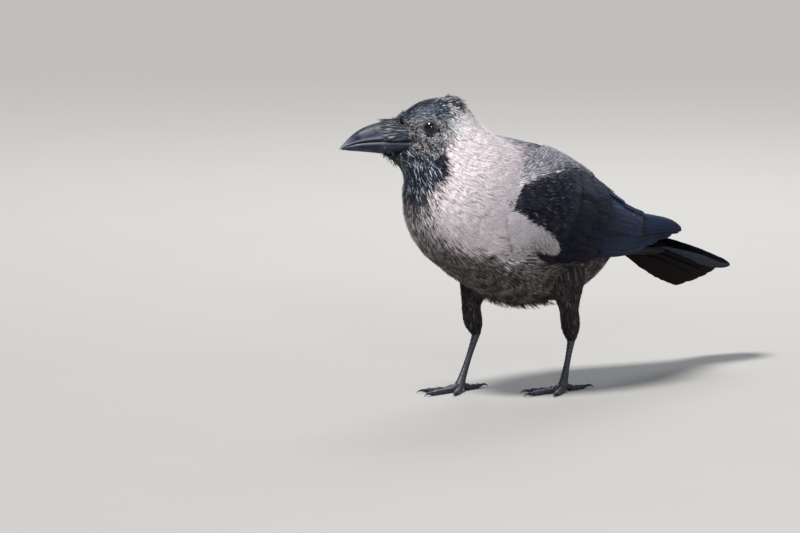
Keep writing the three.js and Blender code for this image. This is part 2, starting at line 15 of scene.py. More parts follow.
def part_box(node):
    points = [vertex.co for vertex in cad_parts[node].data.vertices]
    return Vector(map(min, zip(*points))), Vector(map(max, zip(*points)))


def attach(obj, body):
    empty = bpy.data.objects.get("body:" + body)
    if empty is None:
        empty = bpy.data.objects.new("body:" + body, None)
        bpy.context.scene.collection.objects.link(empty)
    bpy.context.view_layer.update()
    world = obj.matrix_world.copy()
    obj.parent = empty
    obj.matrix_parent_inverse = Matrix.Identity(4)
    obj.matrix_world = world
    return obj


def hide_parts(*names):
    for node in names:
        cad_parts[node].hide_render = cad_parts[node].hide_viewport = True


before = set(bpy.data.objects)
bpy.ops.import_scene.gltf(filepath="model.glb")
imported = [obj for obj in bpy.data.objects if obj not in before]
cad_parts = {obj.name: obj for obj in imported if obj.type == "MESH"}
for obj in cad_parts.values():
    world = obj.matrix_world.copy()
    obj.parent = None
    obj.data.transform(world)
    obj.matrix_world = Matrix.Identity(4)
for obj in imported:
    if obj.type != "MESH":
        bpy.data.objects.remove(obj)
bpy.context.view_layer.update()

bl_info = {
    "name": "House crow plumage",
    "version": (1, 0, 0),
    "blender": (4, 5, 0),
    "location": "View3D > Sidebar > House Crow",
    "description": "Dresses a standing house crow in feathers, horn and scales",
    "category": "Add Mesh",
}

# ---- Sizes of the bird --------------------------------------------------------------------

RAD = math.pi / 180
NECK_PIVOT_X = -85
HEAD_TURN = 48

# Body slices from the tail root to the bill: top and bottom points, half width, the height of the
# widest level (0 bottom, 1 top) and the degrees that the slice is turned.
BODY = np.array([
    [101, 126, 92, 103, 13, 0.5, 0],
    [78, 140, 68, 85, 26.5, 0.45, 0],
    [52, 155, 38, 69, 39, 0.43, 0],
    [24, 170.5, 8, 63, 44.5, 0.45, 0],
    [-4, 181.5, -27, 66, 47, 0.47, 0],
    [-28, 187.5, -55, 76, 48, 0.5, 0],
    [-46, 192.5, -83, 90.5, 47, 0.54, 0],
    [-57, 196, -109, 107.5, 44, 0.55, 3],
    [-63, 199.5, -122.5, 128, 38.5, 0.54, 12],
    [-68, 203.5, -125, 146.5, 31, 0.52, 24],
    [-72, 209, -123, 160, 25, 0.5, 36],
    [-77, 215.5, -124.5, 169.5, 21, 0.52, 43],
    [-86.5, 222, -129, 174.5, 18.4, 0.55, 47],
    [-99, 222.2, -133, 177, 16.8, 0.57, 48],
    [-112.5, 218.6, -136, 179, 13.8, 0.57, 48],
    [-123, 211.5, -138, 181.5, 10.6, 0.55, 48],
    [-128, 206.6, -138, 186.5, 7, 0.5, 48],
], float)

# Bill slices: distance, culmen, gape line, lower edge and half width.
BILL = np.array([
    [-104, 203.5, 190.4, 181.6, 12.2],
    [-112, 205.4, 190.7, 180.8, 12.1],
    [-119.5, 206.5, 191.1, 180.3, 11.5],
    [-127, 206.7, 191.4, 180.3, 10.2],
    [-137, 205.1, 191.2, 180.9, 8.3],
    [-147, 202.5, 190.5, 181.9, 6.7],
    [-155.5, 198.7, 189.3, 182.7, 5.2],
    [-162.5, 193.5, 187.5, 183.2, 3.5],
    [-167.4, 188.3, 185.6, 183.8, 1.9],
    [-170.3, 184.8, 183.6, 183, 0.6],
], float)
LOWER_BILL_TIP = 8.3
BILL_GAP = 0.3

# The edge of the feathers round the bill's base: height, and distance.
FACE_EDGE = np.array([
    [177, -140], [180.2, -138], [181.4, -125], [183.5, -122.5], [188, -121], [190.4, -117.8],
    [192.6, -119.3], [195, -121], [199, -122.5], [204, -125], [207, -127.5],
])

EYE_X, EYE_Z, EYE_RADIUS, EYE_INSET, EYE_FORWARD = -104, 201.4, 6.4, 13.2, 10
# The two rings of a lid: radius, thickness, number of beads, how far it is sunk and how dry it is.
LID_RINGS = ((4.58, 0.42, 34, 0.05, 0.1), (5.25, 0.62, 26, 0.3, 0.6))

# Wing slices: the ridge, the widest level, half the width there, the drop to the lowest point, and
# the angles above the widest level between which the folded wing lies.
WING = np.array([
    [-54, 187, -78, 150, 44.5, 48, -2, 26],
    [-30, 186, -48, 142, 54, 58, -28, 48],
    [2, 179.5, -15, 132, 56, 60, -36, 66],
    [35, 164.5, 18, 121, 53, 54, -34, 78],
    [67, 146, 52, 110, 45.5, 46, -25, 83],
    [98, 129.5, 87, 102.5, 35, 36, -18, 85],
    [129, 121, 120, 100, 26, 26, -9, 85],
    [157, 115.2, 151, 98, 19, 19, -4, 83],
    [176, 108, 171, 93, 13.5, 13, 0, 80],
], float)
WING_CORE_END = 3.7
PRIMARY_TIPS = np.array([
    [5.5, 0.05], [6.5, 0.14], [7.3, 0.34], [7.55, 0.52], [7.4, 0.66], [7.1, 0.76], [6.5, 0.83],
], float)

TAIL_ROOT = np.array([94.0, 0, 113])
TAIL_SLOPE, TAIL_ROLL, TAIL_LENGTH, TAIL_CORE, TAIL_OPEN = 20, 25, 136, 56, 40
TAIL_GRADUATION, TAIL_HALF, TAIL_PITCH = 17, 8.6, 0.85
# Millimetres from each feather to the next at the root and where the tail is spread, how far its
# middle lies to the left, and how much wider its right half is spread.
TAIL_ROOT_SPREAD, TAIL_SPREAD, TAIL_MIDDLE, TAIL_SKEW = 0.35, 2.75, 2.2, 0.17

LEGS = {
    "left": dict(side=-1, foot=(1, -31.5), ankle=(12.5, -29, 37), knee=(6, -32, 61), hip=(2, -31, 92)),
    "right": dict(side=1, foot=(-45, 28), ankle=(-32, 25, 41), knee=(-35, 27, 64), hip=(-22, 28, 92)),
}
SHIN_HALF, TARSUS_RADIUS, FOOT_HEIGHT, TOE_HEIGHT, TOE_RADIUS = 7.2, 2.7, 8.2, 1.6, 2.6
TOES = [("inner", -30, 25, 9.5), ("middle", -2, 34, 10.5), ("outer", 27, 27, 9), ("hind", 177, 20, 12.5)]

# ---- Settings -----------------------------------------------------------------------------


class CrowPlumage(bpy.types.PropertyGroup):
    """Lie, size and colours of the plumage."""

    density: bpy.props.FloatProperty(
        name="Feather density", description="How closely the small feathers are set",
        default=1.0, min=0.2, max=1.3)
    length: bpy.props.FloatProperty(
        name="Feather length", description="Length of the small feathers against the usual",
        default=1.0, min=0.5, max=1.5)
    coat_depth: bpy.props.FloatProperty(
        name="Coat depth", description="How far the skin lies under the plumage on the breast",
        default=0.0036, unit="LENGTH")
    collar: bpy.props.FloatVectorProperty(
        name="Collar grey", description="Nape, neck and breast", subtype="COLOR",
        default=(0.71, 0.64, 0.655))
    belly: bpy.props.FloatVectorProperty(
        name="Belly brown", description="Belly, vent and thighs", subtype="COLOR",
        default=(0.038, 0.029, 0.026))
    black: bpy.props.FloatVectorProperty(
        name="Black", description="Face, crown, throat, wings and tail", subtype="COLOR",
        default=(0.003, 0.003, 0.0036))
    blue: bpy.props.FloatVectorProperty(
        name="Blue sheen", description="Sheen of the black feathers", subtype="COLOR",
        default=(0.005, 0.0105, 0.023))
    violet: bpy.props.FloatVectorProperty(
        name="Violet sheen", description="Second sheen of the black feathers", subtype="COLOR",
        default=(0.008, 0.0075, 0.015))
    pale: bpy.props.FloatVectorProperty(
        name="Pale edges", description="Worn feather edges and the streaks of the cheek",
        subtype="COLOR", default=(0.55, 0.5, 0.48))


class CrowHorn(bpy.types.PropertyGroup):
    """Finish of the bill, claws, legs and eyes."""

    bill: bpy.props.FloatVectorProperty(
        name="Bill", description="Horn of the bill and claws", subtype="COLOR",
        default=(0.016, 0.019, 0.03))
    leg: bpy.props.FloatVectorProperty(
        name="Leg", description="Scaled skin of the legs", subtype="COLOR",
        default=(0.011, 0.0115, 0.016))
    iris: bpy.props.FloatVectorProperty(
        name="Iris", description="Ring round the pupil", subtype="COLOR",
        default=(0.012, 0.006, 0.004))


class CrowStage(bpy.types.PropertyGroup):
    """Camera and lights."""

    azimuth: bpy.props.FloatProperty(
        name="Azimuth", description="Where the camera stands about the bird",
        default=-50 * RAD, subtype="ANGLE")
    elevation: bpy.props.FloatProperty(
        name="Elevation", description="How far the camera looks down",
        default=7 * RAD, subtype="ANGLE")
    distance: bpy.props.FloatProperty(
        name="Distance", description="From the camera to the bird", default=10.0, unit="LENGTH")
    view_width: bpy.props.FloatProperty(
        name="View width", description="Width of the view at the bird", default=0.5882, unit="LENGTH")
    key: bpy.props.FloatProperty(
        name="Key light", description="Strength of the main light", default=5.4)
    floor: bpy.props.FloatVectorProperty(
        name="Floor", description="Colour of the floor", subtype="COLOR", default=(0.31, 0.306, 0.295))


def settings():
    """The settings of the plumage, of the horn and of the stage."""
    scene = bpy.context.scene
    return scene.crow_plumage, scene.crow_horn, scene.crow_stage


# ---- Surfaces -----------------------------------------------------------------------------


def read_rows(rows, t):
    """A smooth curve through the rows of a table, read at row numbers t."""
    last = len(rows) - 1
    i = np.clip(np.floor(t).astype(int), 0, last - 1)
    f = (t - i)[..., None]
    a, b, c, d = (rows[np.clip(i + k, 0, last)] for k in (-1, 0, 1, 2))
    return b + 0.5 * f * (c - a + f * (2 * a - 5 * b + 4 * c - d + f * (3 * (b - c) + d - a)))


def mix(a, b, f):
    """A value from a to b, at share f."""
    return a + (b - a) * f


def ramp(x, low, high):
    """A smooth step from 0 at low to 1 at high."""
    f = np.clip((x - low) / (high - low), 0, 1)
    return f * f * (3 - 2 * f)


def unit(v):
    """Vectors of length one."""
    return v / np.maximum(np.linalg.norm(v, axis=-1, keepdims=True), 1e-9)


def turned(p, degrees):
    """Points of the straight profile, turned about the vertical line through the neck."""
    c, s = np.cos(degrees * RAD), np.sin(degrees * RAD)
    dx, y = p[..., 0] - NECK_PIVOT_X, p[..., 1]
    return np.stack([NECK_PIVOT_X + dx * c + y * s, y * c - dx * s, p[..., 2]], -1)


def body_point(t, angle, lift=0.0):
    """The body's surface: slice t, and the angle from the left side over the top."""
    t, angle = np.broadcast_arrays(np.asarray(t, float), np.asarray(angle, float))
    s = read_rows(BODY, t)
    top = np.stack([s[..., 0], 0 * t, s[..., 1]], -1)
    low = np.stack([s[..., 2], 0 * t, s[..., 3]], -1)
    middle = mix(low, top, s[..., 5:6])
    rise = np.sin(angle * RAD)
    end = np.where((rise > 0)[..., None], top, low)
    reach = np.linalg.norm(end - middle, axis=-1)
    p = middle + (end - middle) * (np.abs(rise) * (reach + lift) / reach)[..., None]
    p[..., 1] = -(s[..., 4] + lift) * np.cos(angle * RAD)
    return turned(p, s[..., 6])


def wing_point(side, t, across, lift=0.0):
    """The shell that a folded wing lies on, from its lower edge (0) to its upper edge (1)."""
    t, across = np.broadcast_arrays(np.asarray(t, float), np.asarray(across, float))
    s = read_rows(WING, t)
    angle = mix(s[..., 6], s[..., 7], across) * RAD
    middle = np.stack([s[..., 2], 0 * t, s[..., 3]], -1)
    up = np.stack([s[..., 0], 0 * t, s[..., 1]], -1) - middle
    tall = np.linalg.norm(up, axis=-1)
    rise = np.sin(angle) * np.where(np.sin(angle) > 0, tall + lift, s[..., 5] + lift)
    p = middle + up * (rise / tall)[..., None]
    p[..., 1] = side * (s[..., 4] + lift) * np.cos(angle)
    return p


def tail_point(along, left, up):
    """A place along the tail from its root, to the left of its middle and up from it."""
    along, left, up = np.broadcast_arrays(*(np.asarray(v, float) for v in (along, left, up)))
    slope, roll = TAIL_SLOPE * RAD, TAIL_ROLL * RAD * ramp(along, 0, TAIL_LENGTH * 0.7)
    axis = np.array([math.cos(slope), 0, -math.sin(slope)])
    flat_left, flat_up = np.array([0, -1.0, 0]), np.array([math.sin(slope), 0, math.cos(slope)])
    c, s = np.cos(roll)[..., None], np.sin(roll)[..., None]
    height = (up - left**2 / 120)[..., None]
    sideways = left[..., None] * (flat_left * c + flat_up * s)
    return TAIL_ROOT + along[..., None] * axis + sideways + height * (flat_up * c - flat_left * s)


def eye_frame(side):
    """Centre of an eye, and the direction that it looks in."""
    centre = turned(np.array([EYE_X, side * EYE_INSET, EYE_Z], float), HEAD_TURN)
    forward = EYE_FORWARD * RAD
    axis = unit(np.array([-math.sin(forward), side * math.cos(forward), 0.06]))
    c, s = math.cos(HEAD_TURN * RAD), math.sin(HEAD_TURN * RAD)
    return centre, np.array([axis[0] * c + axis[1] * s, axis[1] * c - axis[0] * s, axis[2]])


def from_eye(points, side):
    """How far points lie in front of an eye's centre and off its axis, and their offset from it."""
    centre, axis = eye_frame(side)
    offset = points - centre
    out = (offset * axis).sum(-1)
    return out, np.linalg.norm(offset - out[..., None] * axis, axis=-1), offset


class Shell:
    """A surface kept on a fine grid, read at any place (t, a) in between."""

    def __init__(self, place, ts, rs, period=None, sink=None):
        self.ts, self.rs, self.period = ts, rs, period
        t, r = np.meshgrid(ts, rs, indexing="ij")
        points, outer = place(t, r, 0.0), place(t, r, 1.0)
        if sink:
            points = sink(points, unit(outer - points))
        by_t, by_r = np.gradient(points, ts, axis=0), np.gradient(points, rs, axis=1)
        normal = unit(np.cross(by_t, by_r))
        normal *= np.sign((normal * (outer - points)).sum(-1, keepdims=True))
        per_t, per_r = (np.linalg.norm(g, axis=-1, keepdims=True) for g in (by_t, by_r))
        self.grid = np.concatenate([points, normal, np.maximum(per_t, 2), np.maximum(per_r, 0.02)], -1)

    def read(self, t, r):
        """Place, outward normal, and millimetres for each step of t and of a."""
        if self.period:
            r = np.mod(r, self.period)
        out = 0
        i = np.clip((t - self.ts[0]) / (self.ts[1] - self.ts[0]), 0, len(self.ts) - 1.001)
        j = np.clip((r - self.rs[0]) / (self.rs[1] - self.rs[0]), 0, len(self.rs) - 1.001)
        i0, j0 = i.astype(int), j.astype(int)
        fi, fj = (i - i0)[..., None], (j - j0)[..., None]
        for di, dj in ((0, 0), (0, 1), (1, 0), (1, 1)):
            share = (fi if di else 1 - fi) * (fj if dj else 1 - fj)
            out = out + share * self.grid[i0 + di, j0 + dj]
        return out[..., :3], unit(out[..., 3:6]), out[..., 6], out[..., 7]

    def lattice(self, low, high, spacing, rng, r_range=None):
        """Root places in staggered rows; spacing(t) is how many millimetres they are apart."""
        r0, r1 = r_range or (0, self.period)
        t, all_t, all_r, odd = low, [], [], 0
        while t < high:
            r = np.linspace(r0, r1, 49)
            _, _, per_t, per_r = self.read(np.full(49, t), r)
            round_about = per_r.mean() * (r1 - r0)
            count = max(3, int(round(round_about / spacing(t))))
            places = r0 + (r1 - r0) * (np.arange(count) + 0.5 * odd + 0.25) / count
            step = spacing(t) / per_t.mean()
            all_t.append(t + rng.uniform(-0.45, 0.45, count) * step)
            all_r.append(places + rng.uniform(-0.35, 0.35, count) * (r1 - r0) / count)
            t, odd = t + step, 1 - odd
        return np.concatenate(all_t), np.concatenate(all_r)


def bill_half(x, z):
    """Half width of the bill at distance x and height z."""
    s = read_rows(BILL, np.interp(-x, -BILL[:, 0], np.arange(len(BILL))))
    top, gape, low, half = (s[..., k] for k in (1, 2, 3, 4))
    share = np.clip(np.where(z > gape, (z - gape) / (top - gape), (gape - z) / (gape - low)), 0, 1)
    return half * np.where(z > gape, 1, 0.9) * np.sqrt(1 - share ** 2.35)


def ahead_of_face(points):
    """Millimetres that points of the head lie ahead of the feathers round the bill's base."""
    straight = turned(points, -HEAD_TURN)
    return np.interp(straight[..., 2], *FACE_EDGE.T) - straight[..., 0]


def shape_face(points, normal):
    """Draws the face in to the bill's base, and sinks it in a shallow hollow round each eye."""
    straight, gap = turned(points, -HEAD_TURN), ahead_of_face(points)
    x, y, z = (straight[..., k] for k in range(3))
    share = ramp(gap, -9, 0.3) * (1 - ramp(z, 200, 206)) * ramp(z, 176, 181)
    snug = bill_half(x, z) + 0.5 - 2.4 * ramp(gap, -0.5, 3)
    narrow = np.sign(y) * mix(np.abs(y), np.minimum(np.abs(y), snug), share)
    drawn = turned(np.stack([x, narrow, z], -1), HEAD_TURN)
    points = np.where((share > 0)[..., None] & (x < -95)[..., None], drawn, points)
    depth = 0
    for side in (-1, 1):
        out, off, _ = from_eye(points, side)
        near = np.exp(-((off / 6.5) ** 4)) * (out > 0)
        depth = depth + near * np.maximum(out - 3.7, 0)
    return points - normal * np.asarray(depth)[..., None]


BODY_SHELL = Shell(body_point, np.linspace(0, 16, 193), np.arange(-9, 370, 3.0), 360, shape_face)
WING_SHELLS = {
    side: Shell(lambda t, r, lift, side=side: wing_point(side, t, r, lift),
                np.linspace(-0.4, 8, 169), np.linspace(-0.3, 1.1, 57))
    for side in (-1, 1)
}

# Where the drawn bird stands in the frame of the solids.
EYE_MID = sum(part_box("left_eye"), Vector()) / 2
SHIFT = np.array(EYE_MID) * 1000 - eye_frame(-1)[0]
SHIFT[2] = 0.0


# ---- Meshes from arrays -------------------------------------------------------------------

# The share of the OFBake layer that one lock or vane takes up.
BAKE_PATCH = 0.0026
# The fewest millimetres that a slice of a wing or leg counts for, when feathers are laid along it.
BLUNT_SLICE = 26


def set_colours(mesh, key, values):
    """Adds a colour attribute, which a finish reads, to the points of a mesh."""
    layer = mesh.attributes.new(key, "FLOAT_COLOR", "POINT")
    layer.data.foreach_set("color", values.astype(np.float32).ravel())


class Pile:
    """Many small closed shapes that become one mesh, with what their finish reads."""

    def __init__(self):
        self.parts = {key: [] for key in ("points", "normal", "marking", "vane", "barb", "bake")}
        self.faces = {3: [], 4: []}
        self.count = 0

    def add(self, points, faces, **layers):
        """points (n, v, 3) for n like shapes of v points, with faces listed for one of them."""
        n, v = points.shape[:2]
        first = self.count + np.arange(n)[:, None, None] * v
        for sides in (3, 4):
            like = np.array([f for f in faces if len(f) == sides], int)
            if len(like):
                self.faces[sides].append((first + like[None]).reshape(-1, sides))
        self.parts["points"].append(points.reshape(-1, 3))
        for key, width in (("normal", 3), ("marking", 4), ("vane", 4), ("barb", 2), ("bake", 2)):
            value = layers.get(key)
            value = np.zeros((1, 1, width)) if value is None else value
            self.parts[key].append(np.broadcast_to(value, (n, v, width)).reshape(-1, width))
        self.count += n * v

    def make(self, name, material):
        mesh = bpy.data.meshes.new(name)
        points = (np.concatenate(self.parts["points"]) + SHIFT) / 1000
        groups = [np.concatenate(self.faces[k]) for k in (3, 4) if self.faces[k]]
        corners = np.concatenate([g.ravel() for g in groups]).astype(np.int32)
        sides = np.concatenate([np.full(len(g), g.shape[1]) for g in groups]).astype(np.int32)
        mesh.vertices.add(len(points))
        mesh.vertices.foreach_set("co", points.astype(np.float32).ravel())
        mesh.loops.add(len(corners))
        mesh.loops.foreach_set("vertex_index", corners)
        mesh.polygons.add(len(sides))
        starts = np.concatenate([[0], np.cumsum(sides)[:-1]]).astype(np.int32)
        mesh.polygons.foreach_set("loop_start", starts)
        mesh.polygons.foreach_set("use_smooth", np.ones(len(sides), bool))
        mesh.update(calc_edges=True)
        for key in ("marking", "vane"):
            set_colours(mesh, key, np.concatenate(self.parts[key]))
        for key, layer in (("barb", "barb"), ("bake", "OFBake")):
            values = np.concatenate(self.parts[key]).astype(np.float32)[corners]
            mesh.uv_layers.new(name=layer).data.foreach_set("uv", values.ravel())
        mesh.validate()
        # Locks take the light of the coat that they lie in, which is silkier than their own facets.
        normals = np.concatenate(self.parts["normal"])
        if len(normals) and np.abs(normals).max() > 0:
            mesh.normals_split_custom_set_from_vertices(unit(normals))
        mesh.materials.append(material)
        made = bpy.data.objects.new(name, mesh)
        bpy.context.collection.objects.link(made)
        return made


def keep(made, slot, *nodes):
    """Rides a finished piece on the body and hides the solids that it stands for."""
    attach(made, "root")
    if nodes:
        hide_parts(*nodes)
    return made


def put(pile, name, kind, slot, *nodes):
    """Makes a pile into a piece with the finish of that kind."""
    return keep(pile.make(name, finish(kind)), slot, *nodes)


def lock_faces(rows):
    """Faces of one three-sided lock: rows of left, ridge and right points, then its tip."""
    faces = [(2, 1, 0)]
    for r in range(rows - 2):
        a, b = 3 * r, 3 * (r + 1)
        faces += [(a, a + 1, b + 1, b), (a + 1, a + 2, b + 2, b + 1), (a + 2, a, b, b + 2)]
    a, tip = 3 * (rows - 2), 3 * (rows - 1)
    return faces + [(a, a + 1, tip), (a + 1, a + 2, tip), (a + 2, a, tip)]


def add_locks(pile, centre, normal, half, ridge=0.35, **layers):
    """Closed tapered locks along centre lines (n, rows, 3); the last row is the tip."""
    ahead = unit(np.gradient(centre, axis=1))
    aside = unit(np.cross(ahead, normal))
    b = half[..., None]
    rings = np.stack([centre - aside * b, centre + normal * b * ridge, centre + aside * b], 2)
    n, rows = centre.shape[:2]
    points = np.concatenate([rings[:, :-1].reshape(n, -1, 3), centre[:, -1:]], 1)
    tilt = layers.pop("tilt", 0.35)
    light = np.stack([normal - aside * tilt, normal, normal + aside * tilt], 2)
    light = np.concatenate([light[:, :-1].reshape(n, -1, 3), normal[:, -1:]], 1)
    edge_place = np.tile([0.0, 0.5, 1.0], rows - 1)
    share = np.repeat(np.linspace(0, 1, rows)[:-1], 3)
    vane = np.zeros((n, len(share) + 1, 4))
    vane[..., 0] = np.interp(np.append(share, 1), [0, 0.5, 1], [0, 0.82, 1.05])
    vane[..., 1] = np.append(share, 1)
    vane[..., 2] = layers.pop("tone")[:, None]
    vane[..., 3] = layers.pop("wear", 0)
    length = np.linalg.norm(centre[:, -1] - centre[:, 0], axis=-1)
    barb = np.zeros((n, len(share) + 1, 2))
    barb[..., 0] = np.append(2 * edge_place - 1, 0) * half.max(1)[:, None] / 100
    barb[..., 1] = np.append(share, 1) * length[:, None] / 100
    barb += layers.pop("offset")[:, None]
    patch = np.stack([np.append(edge_place, 0.5), np.append(share, 1)], -1)[None]
    bake = layers.pop("root")[:, None] + BAKE_PATCH * (patch - 0.5)
    pile.add(points, lock_faces(rows), normal=light, vane=vane, barb=barb, bake=bake, **layers)


def lay_tufts(pile, shell, t, r, rng, *, length, half, marking, bake, heading=0.0, ahead=-1, blades=6,
              depth=3.0, stand=0.0, fan=0.35, crown=0.5, shares=(0, 0.5, 1), wild=1.0, slim=1.25,
              mottle=0.1, flecks=(0, 0), wear=0.0, tilt=0.35, streak=0.9):
    """Contour feathers: at each root a fan of barb locks that follows the shell's own curves."""
    n = len(t)
    if not n:
        return
    full = lambda v: np.broadcast_to(np.asarray(v, float), (n,))
    length, half, depth, stand, heading = (full(v) for v in (length, half, depth, stand, heading))
    heading = heading + rng.normal(0, 0.07, n) * wild
    length = length * rng.uniform(0.86, 1.12, n)
    s = np.asarray(shares, float)
    w = np.linspace(-1, 1, blades)[None] + rng.normal(0, 0.13, (n, blades))
    reach = length[:, None] * (1 - 0.5 * crown * w**2) * rng.uniform(0.84, 1.08, w.shape)
    x = reach[..., None] * s
    curl = rng.normal(0, 0.045, w.shape)[..., None] * wild
    y = half[:, None, None] * w[..., None] * (fan + (1 - fan) * s**0.7) + curl * x * s
    rise = stand[:, None, None] * s - depth[:, None, None] * (1 - s) ** 1.7
    rise = rise - 0.12 * half[:, None, None] * w[..., None] ** 2 * s
    rise = rise + rng.normal(0, 0.08, w.shape)[..., None] * wild * s
    c, d = np.cos(heading)[:, None, None], np.sin(heading)[:, None, None]
    _, _, per_t, per_r = shell.read(t, r)
    # The front of a wing is blunt, so that its first slices lie close together.
    per_t = np.maximum(per_t, BLUNT_SLICE) if ahead > 0 else per_t
    at_t = t[:, None, None] + (x * c - y * d) * ahead / per_t[:, None, None]
    at_r = r[:, None, None] + (x * d + y * c) / per_r[:, None, None]
    place, normal, _, _ = shell.read(at_t, at_r)
    centre = place + normal * rise[..., None]
    taper = np.interp(s, [0, 0.3, 0.6, 1], [0.75, 1, 0.85, 0.02])
    width = (half[:, None] / blades * slim * rng.uniform(0.8, 1.2, w.shape))[..., None] * taper
    rows, m = len(s), n * blades
    marks = np.repeat(np.asarray(marking, float)[:, None], blades, 1).reshape(m, 1, 4).copy()
    marks[..., 2] = np.clip(marks[..., 2] + rng.normal(0, mottle, (m, 1)), 0, 1)
    for channel, spread in ((0, streak), (1, 0.35)):
        share = marks[..., channel]
        marks[..., channel] = np.clip(share + 4 * share * (1 - share) * rng.normal(0, spread, (m, 1)), 0, 1)
    flecked = rng.uniform(0, 1, (m, 1)) < np.repeat(full(flecks[0]), blades)[:, None]
    fleck = flecked * rng.uniform(0.3, 1, (m, 1)) * flecks[1]
    marks[..., 3] = np.clip(marks[..., 3] + fleck, 0, 1)
    add_locks(pile, centre.reshape(m, rows, 3), normal.reshape(m, rows, 3), width.reshape(m, rows),
              tone=rng.uniform(0, 1, m), offset=rng.uniform(0, 1, (m, 2)), marking=marks,
              wear=np.repeat(full(wear), blades)[:, None], root=np.repeat(bake, blades, 0), tilt=tilt)


def sheet_faces(rows, columns):
    """Faces of a thin closed sheet: its upper grid, its lower grid and its rim."""
    at = lambda r, c: r * columns + c
    under, faces = rows * columns, []
    for r in range(rows - 1):
        for c in range(columns - 1):
            a, b, d, e = at(r, c), at(r, c + 1), at(r + 1, c + 1), at(r + 1, c)
            faces += [(a, b, d, e), (under + e, under + d, under + b, under + a)]
    rim = [at(0, c) for c in range(columns)] + [at(r, columns - 1) for r in range(1, rows)]
    rim += [at(rows - 1, c) for c in range(columns - 2, -1, -1)] + [at(r, 0) for r in range(rows - 2, 0, -1)]
    for a, b in zip(rim, rim[1:] + rim[:1]):
        faces.append((b, a, under + a, under + b))
    return faces


def lay_vanes(pile, place, n, rng, *, half, marking, bake, rows=12, columns=7, widest=0.6, blunt=0.25,
              lean=0.0, arch=0.3, thick=0.28, wear=0.0, narrow=1.0, ragged=0.25, patch=BAKE_PATCH, hue=0.5):
    """Stiff feathers: place(i, f, across, up) puts feather i's vane at share f of its length."""
    full = lambda v: np.broadcast_to(np.asarray(v, float), (n,))[:, None, None]
    half, lean, wear, narrow = (full(v) for v in (half, lean, wear, narrow))
    u = np.linspace(0, 1, rows)[None, :, None]
    f = 1 - (1 - u) ** 1.35
    k = np.linspace(-1, 1, columns)[None, None, :]
    k = np.sign(k) * np.abs(k) ** 0.85
    grow = ramp(f, -0.35, widest)
    tip = np.sqrt(np.maximum(0, 1 - np.maximum(0, (f - 1 + blunt) / blunt) ** 2))
    edge = 1 + ragged * 0.25 * rng.normal(0, 1, (n, rows, columns)) * np.abs(k) ** 3 * (f > 0.3)
    # The leading vane of a flight feather is narrower than the trailing one.
    share = np.where(k < 0, narrow, 1.0)
    w = half * grow * np.maximum(tip, 0.03) * share * edge
    slip = rng.normal(0, 0.006, (n, rows, columns)) * ragged * (f > 0.4)
    ridge = 0.22 * np.exp(-((k * 6) ** 2)) * (1 - 0.7 * f)
    across = k * w
    up = -lean * across - arch * k**2 * half / 8 + ridge
    index = np.arange(n)[:, None, None]
    top = place(index, np.clip(f + slip, 0, 1), across, up)
    low = place(index, np.clip(f + slip, 0, 1), across, up - thick * (1 - 0.6 * np.abs(k)))
    points = np.concatenate([top.reshape(n, -1, 3), low.reshape(n, -1, 3)], 1)
    faces = facing_out(points[0], sheet_faces(rows, columns))
    hues = np.clip(full(hue) + rng.uniform(-0.25, 0.25, (n, 1, 1)), 0, 1.5)
    vane = [np.maximum(np.abs(k), ramp(f, 0.8, 1.02)), f, hues, wear]
    vane = np.stack([np.broadcast_to(v, (n, rows, columns)) for v in vane], -1).reshape(n, -1, 4)
    run = np.linalg.norm(np.diff(top[:, :, columns // 2], axis=1), axis=-1).sum(1)[:, None, None]
    barb = np.stack(np.broadcast_arrays(across, f * run), -1).reshape(n, -1, 2) / 100
    barb = barb + rng.uniform(0, 1, (n, 1, 2))
    spot = np.stack(np.broadcast_arrays(k * 0.5, f - 0.5 + 0 * k), -1).reshape(1, -1, 2)
    cells = np.broadcast_to(np.asarray(patch, float), (n, 2) if np.ndim(patch) else (n,))
    cells = cells if cells.ndim == 2 else np.stack([cells, cells], -1)
    spots = bake[:, None] + spot * cells[:, None]
    both = lambda v: np.concatenate([v, v], 1)
    pile.add(points, faces, vane=both(vane), barb=both(barb), bake=both(np.broadcast_to(spots, barb.shape)),
             marking=np.asarray(marking, float)[:, None])


def facing_out(points, faces):
    """The faces of a closed shape, turned over if they point into it."""
    volume = sum(np.dot(points[face[0]], np.cross(points[face[i]], points[face[i + 1]]))
                 for face in faces for i in range(1, len(face) - 1))
    return faces if volume >= 0 else [face[::-1] for face in faces]


def ring_mesh(pile, rings, marking=(1, 0, 0.5, 0), vane=None):
    """A closed skin over rings (rows, sides, 3), each end closed about its middle."""
    rows, sides = rings.shape[:2]
    faces = []
    for r in range(rows - 1):
        for i in range(sides):
            a, b = r * sides + i, r * sides + (i + 1) % sides
            faces.append((a, b, b + sides, a + sides))
    points = [rings.reshape(-1, 3)]
    hub = rows * sides
    for row, flip in ((0, True), (rows - 1, False)):
        points.append(rings[row].mean(0)[None])
        for i in range(sides):
            a, b = row * sides + i, row * sides + (i + 1) % sides
            faces.append((hub, b, a) if flip else (hub, a, b))
        hub += 1
    points = np.concatenate(points)
    if vane is not None:
        vane = np.concatenate([vane.reshape(-1, 4), vane[[0, -1]].mean(1)])[None]
    marking = np.array(marking, float)[None, None]
    pile.add(points[None], facing_out(points, faces), marking=marking, vane=vane)


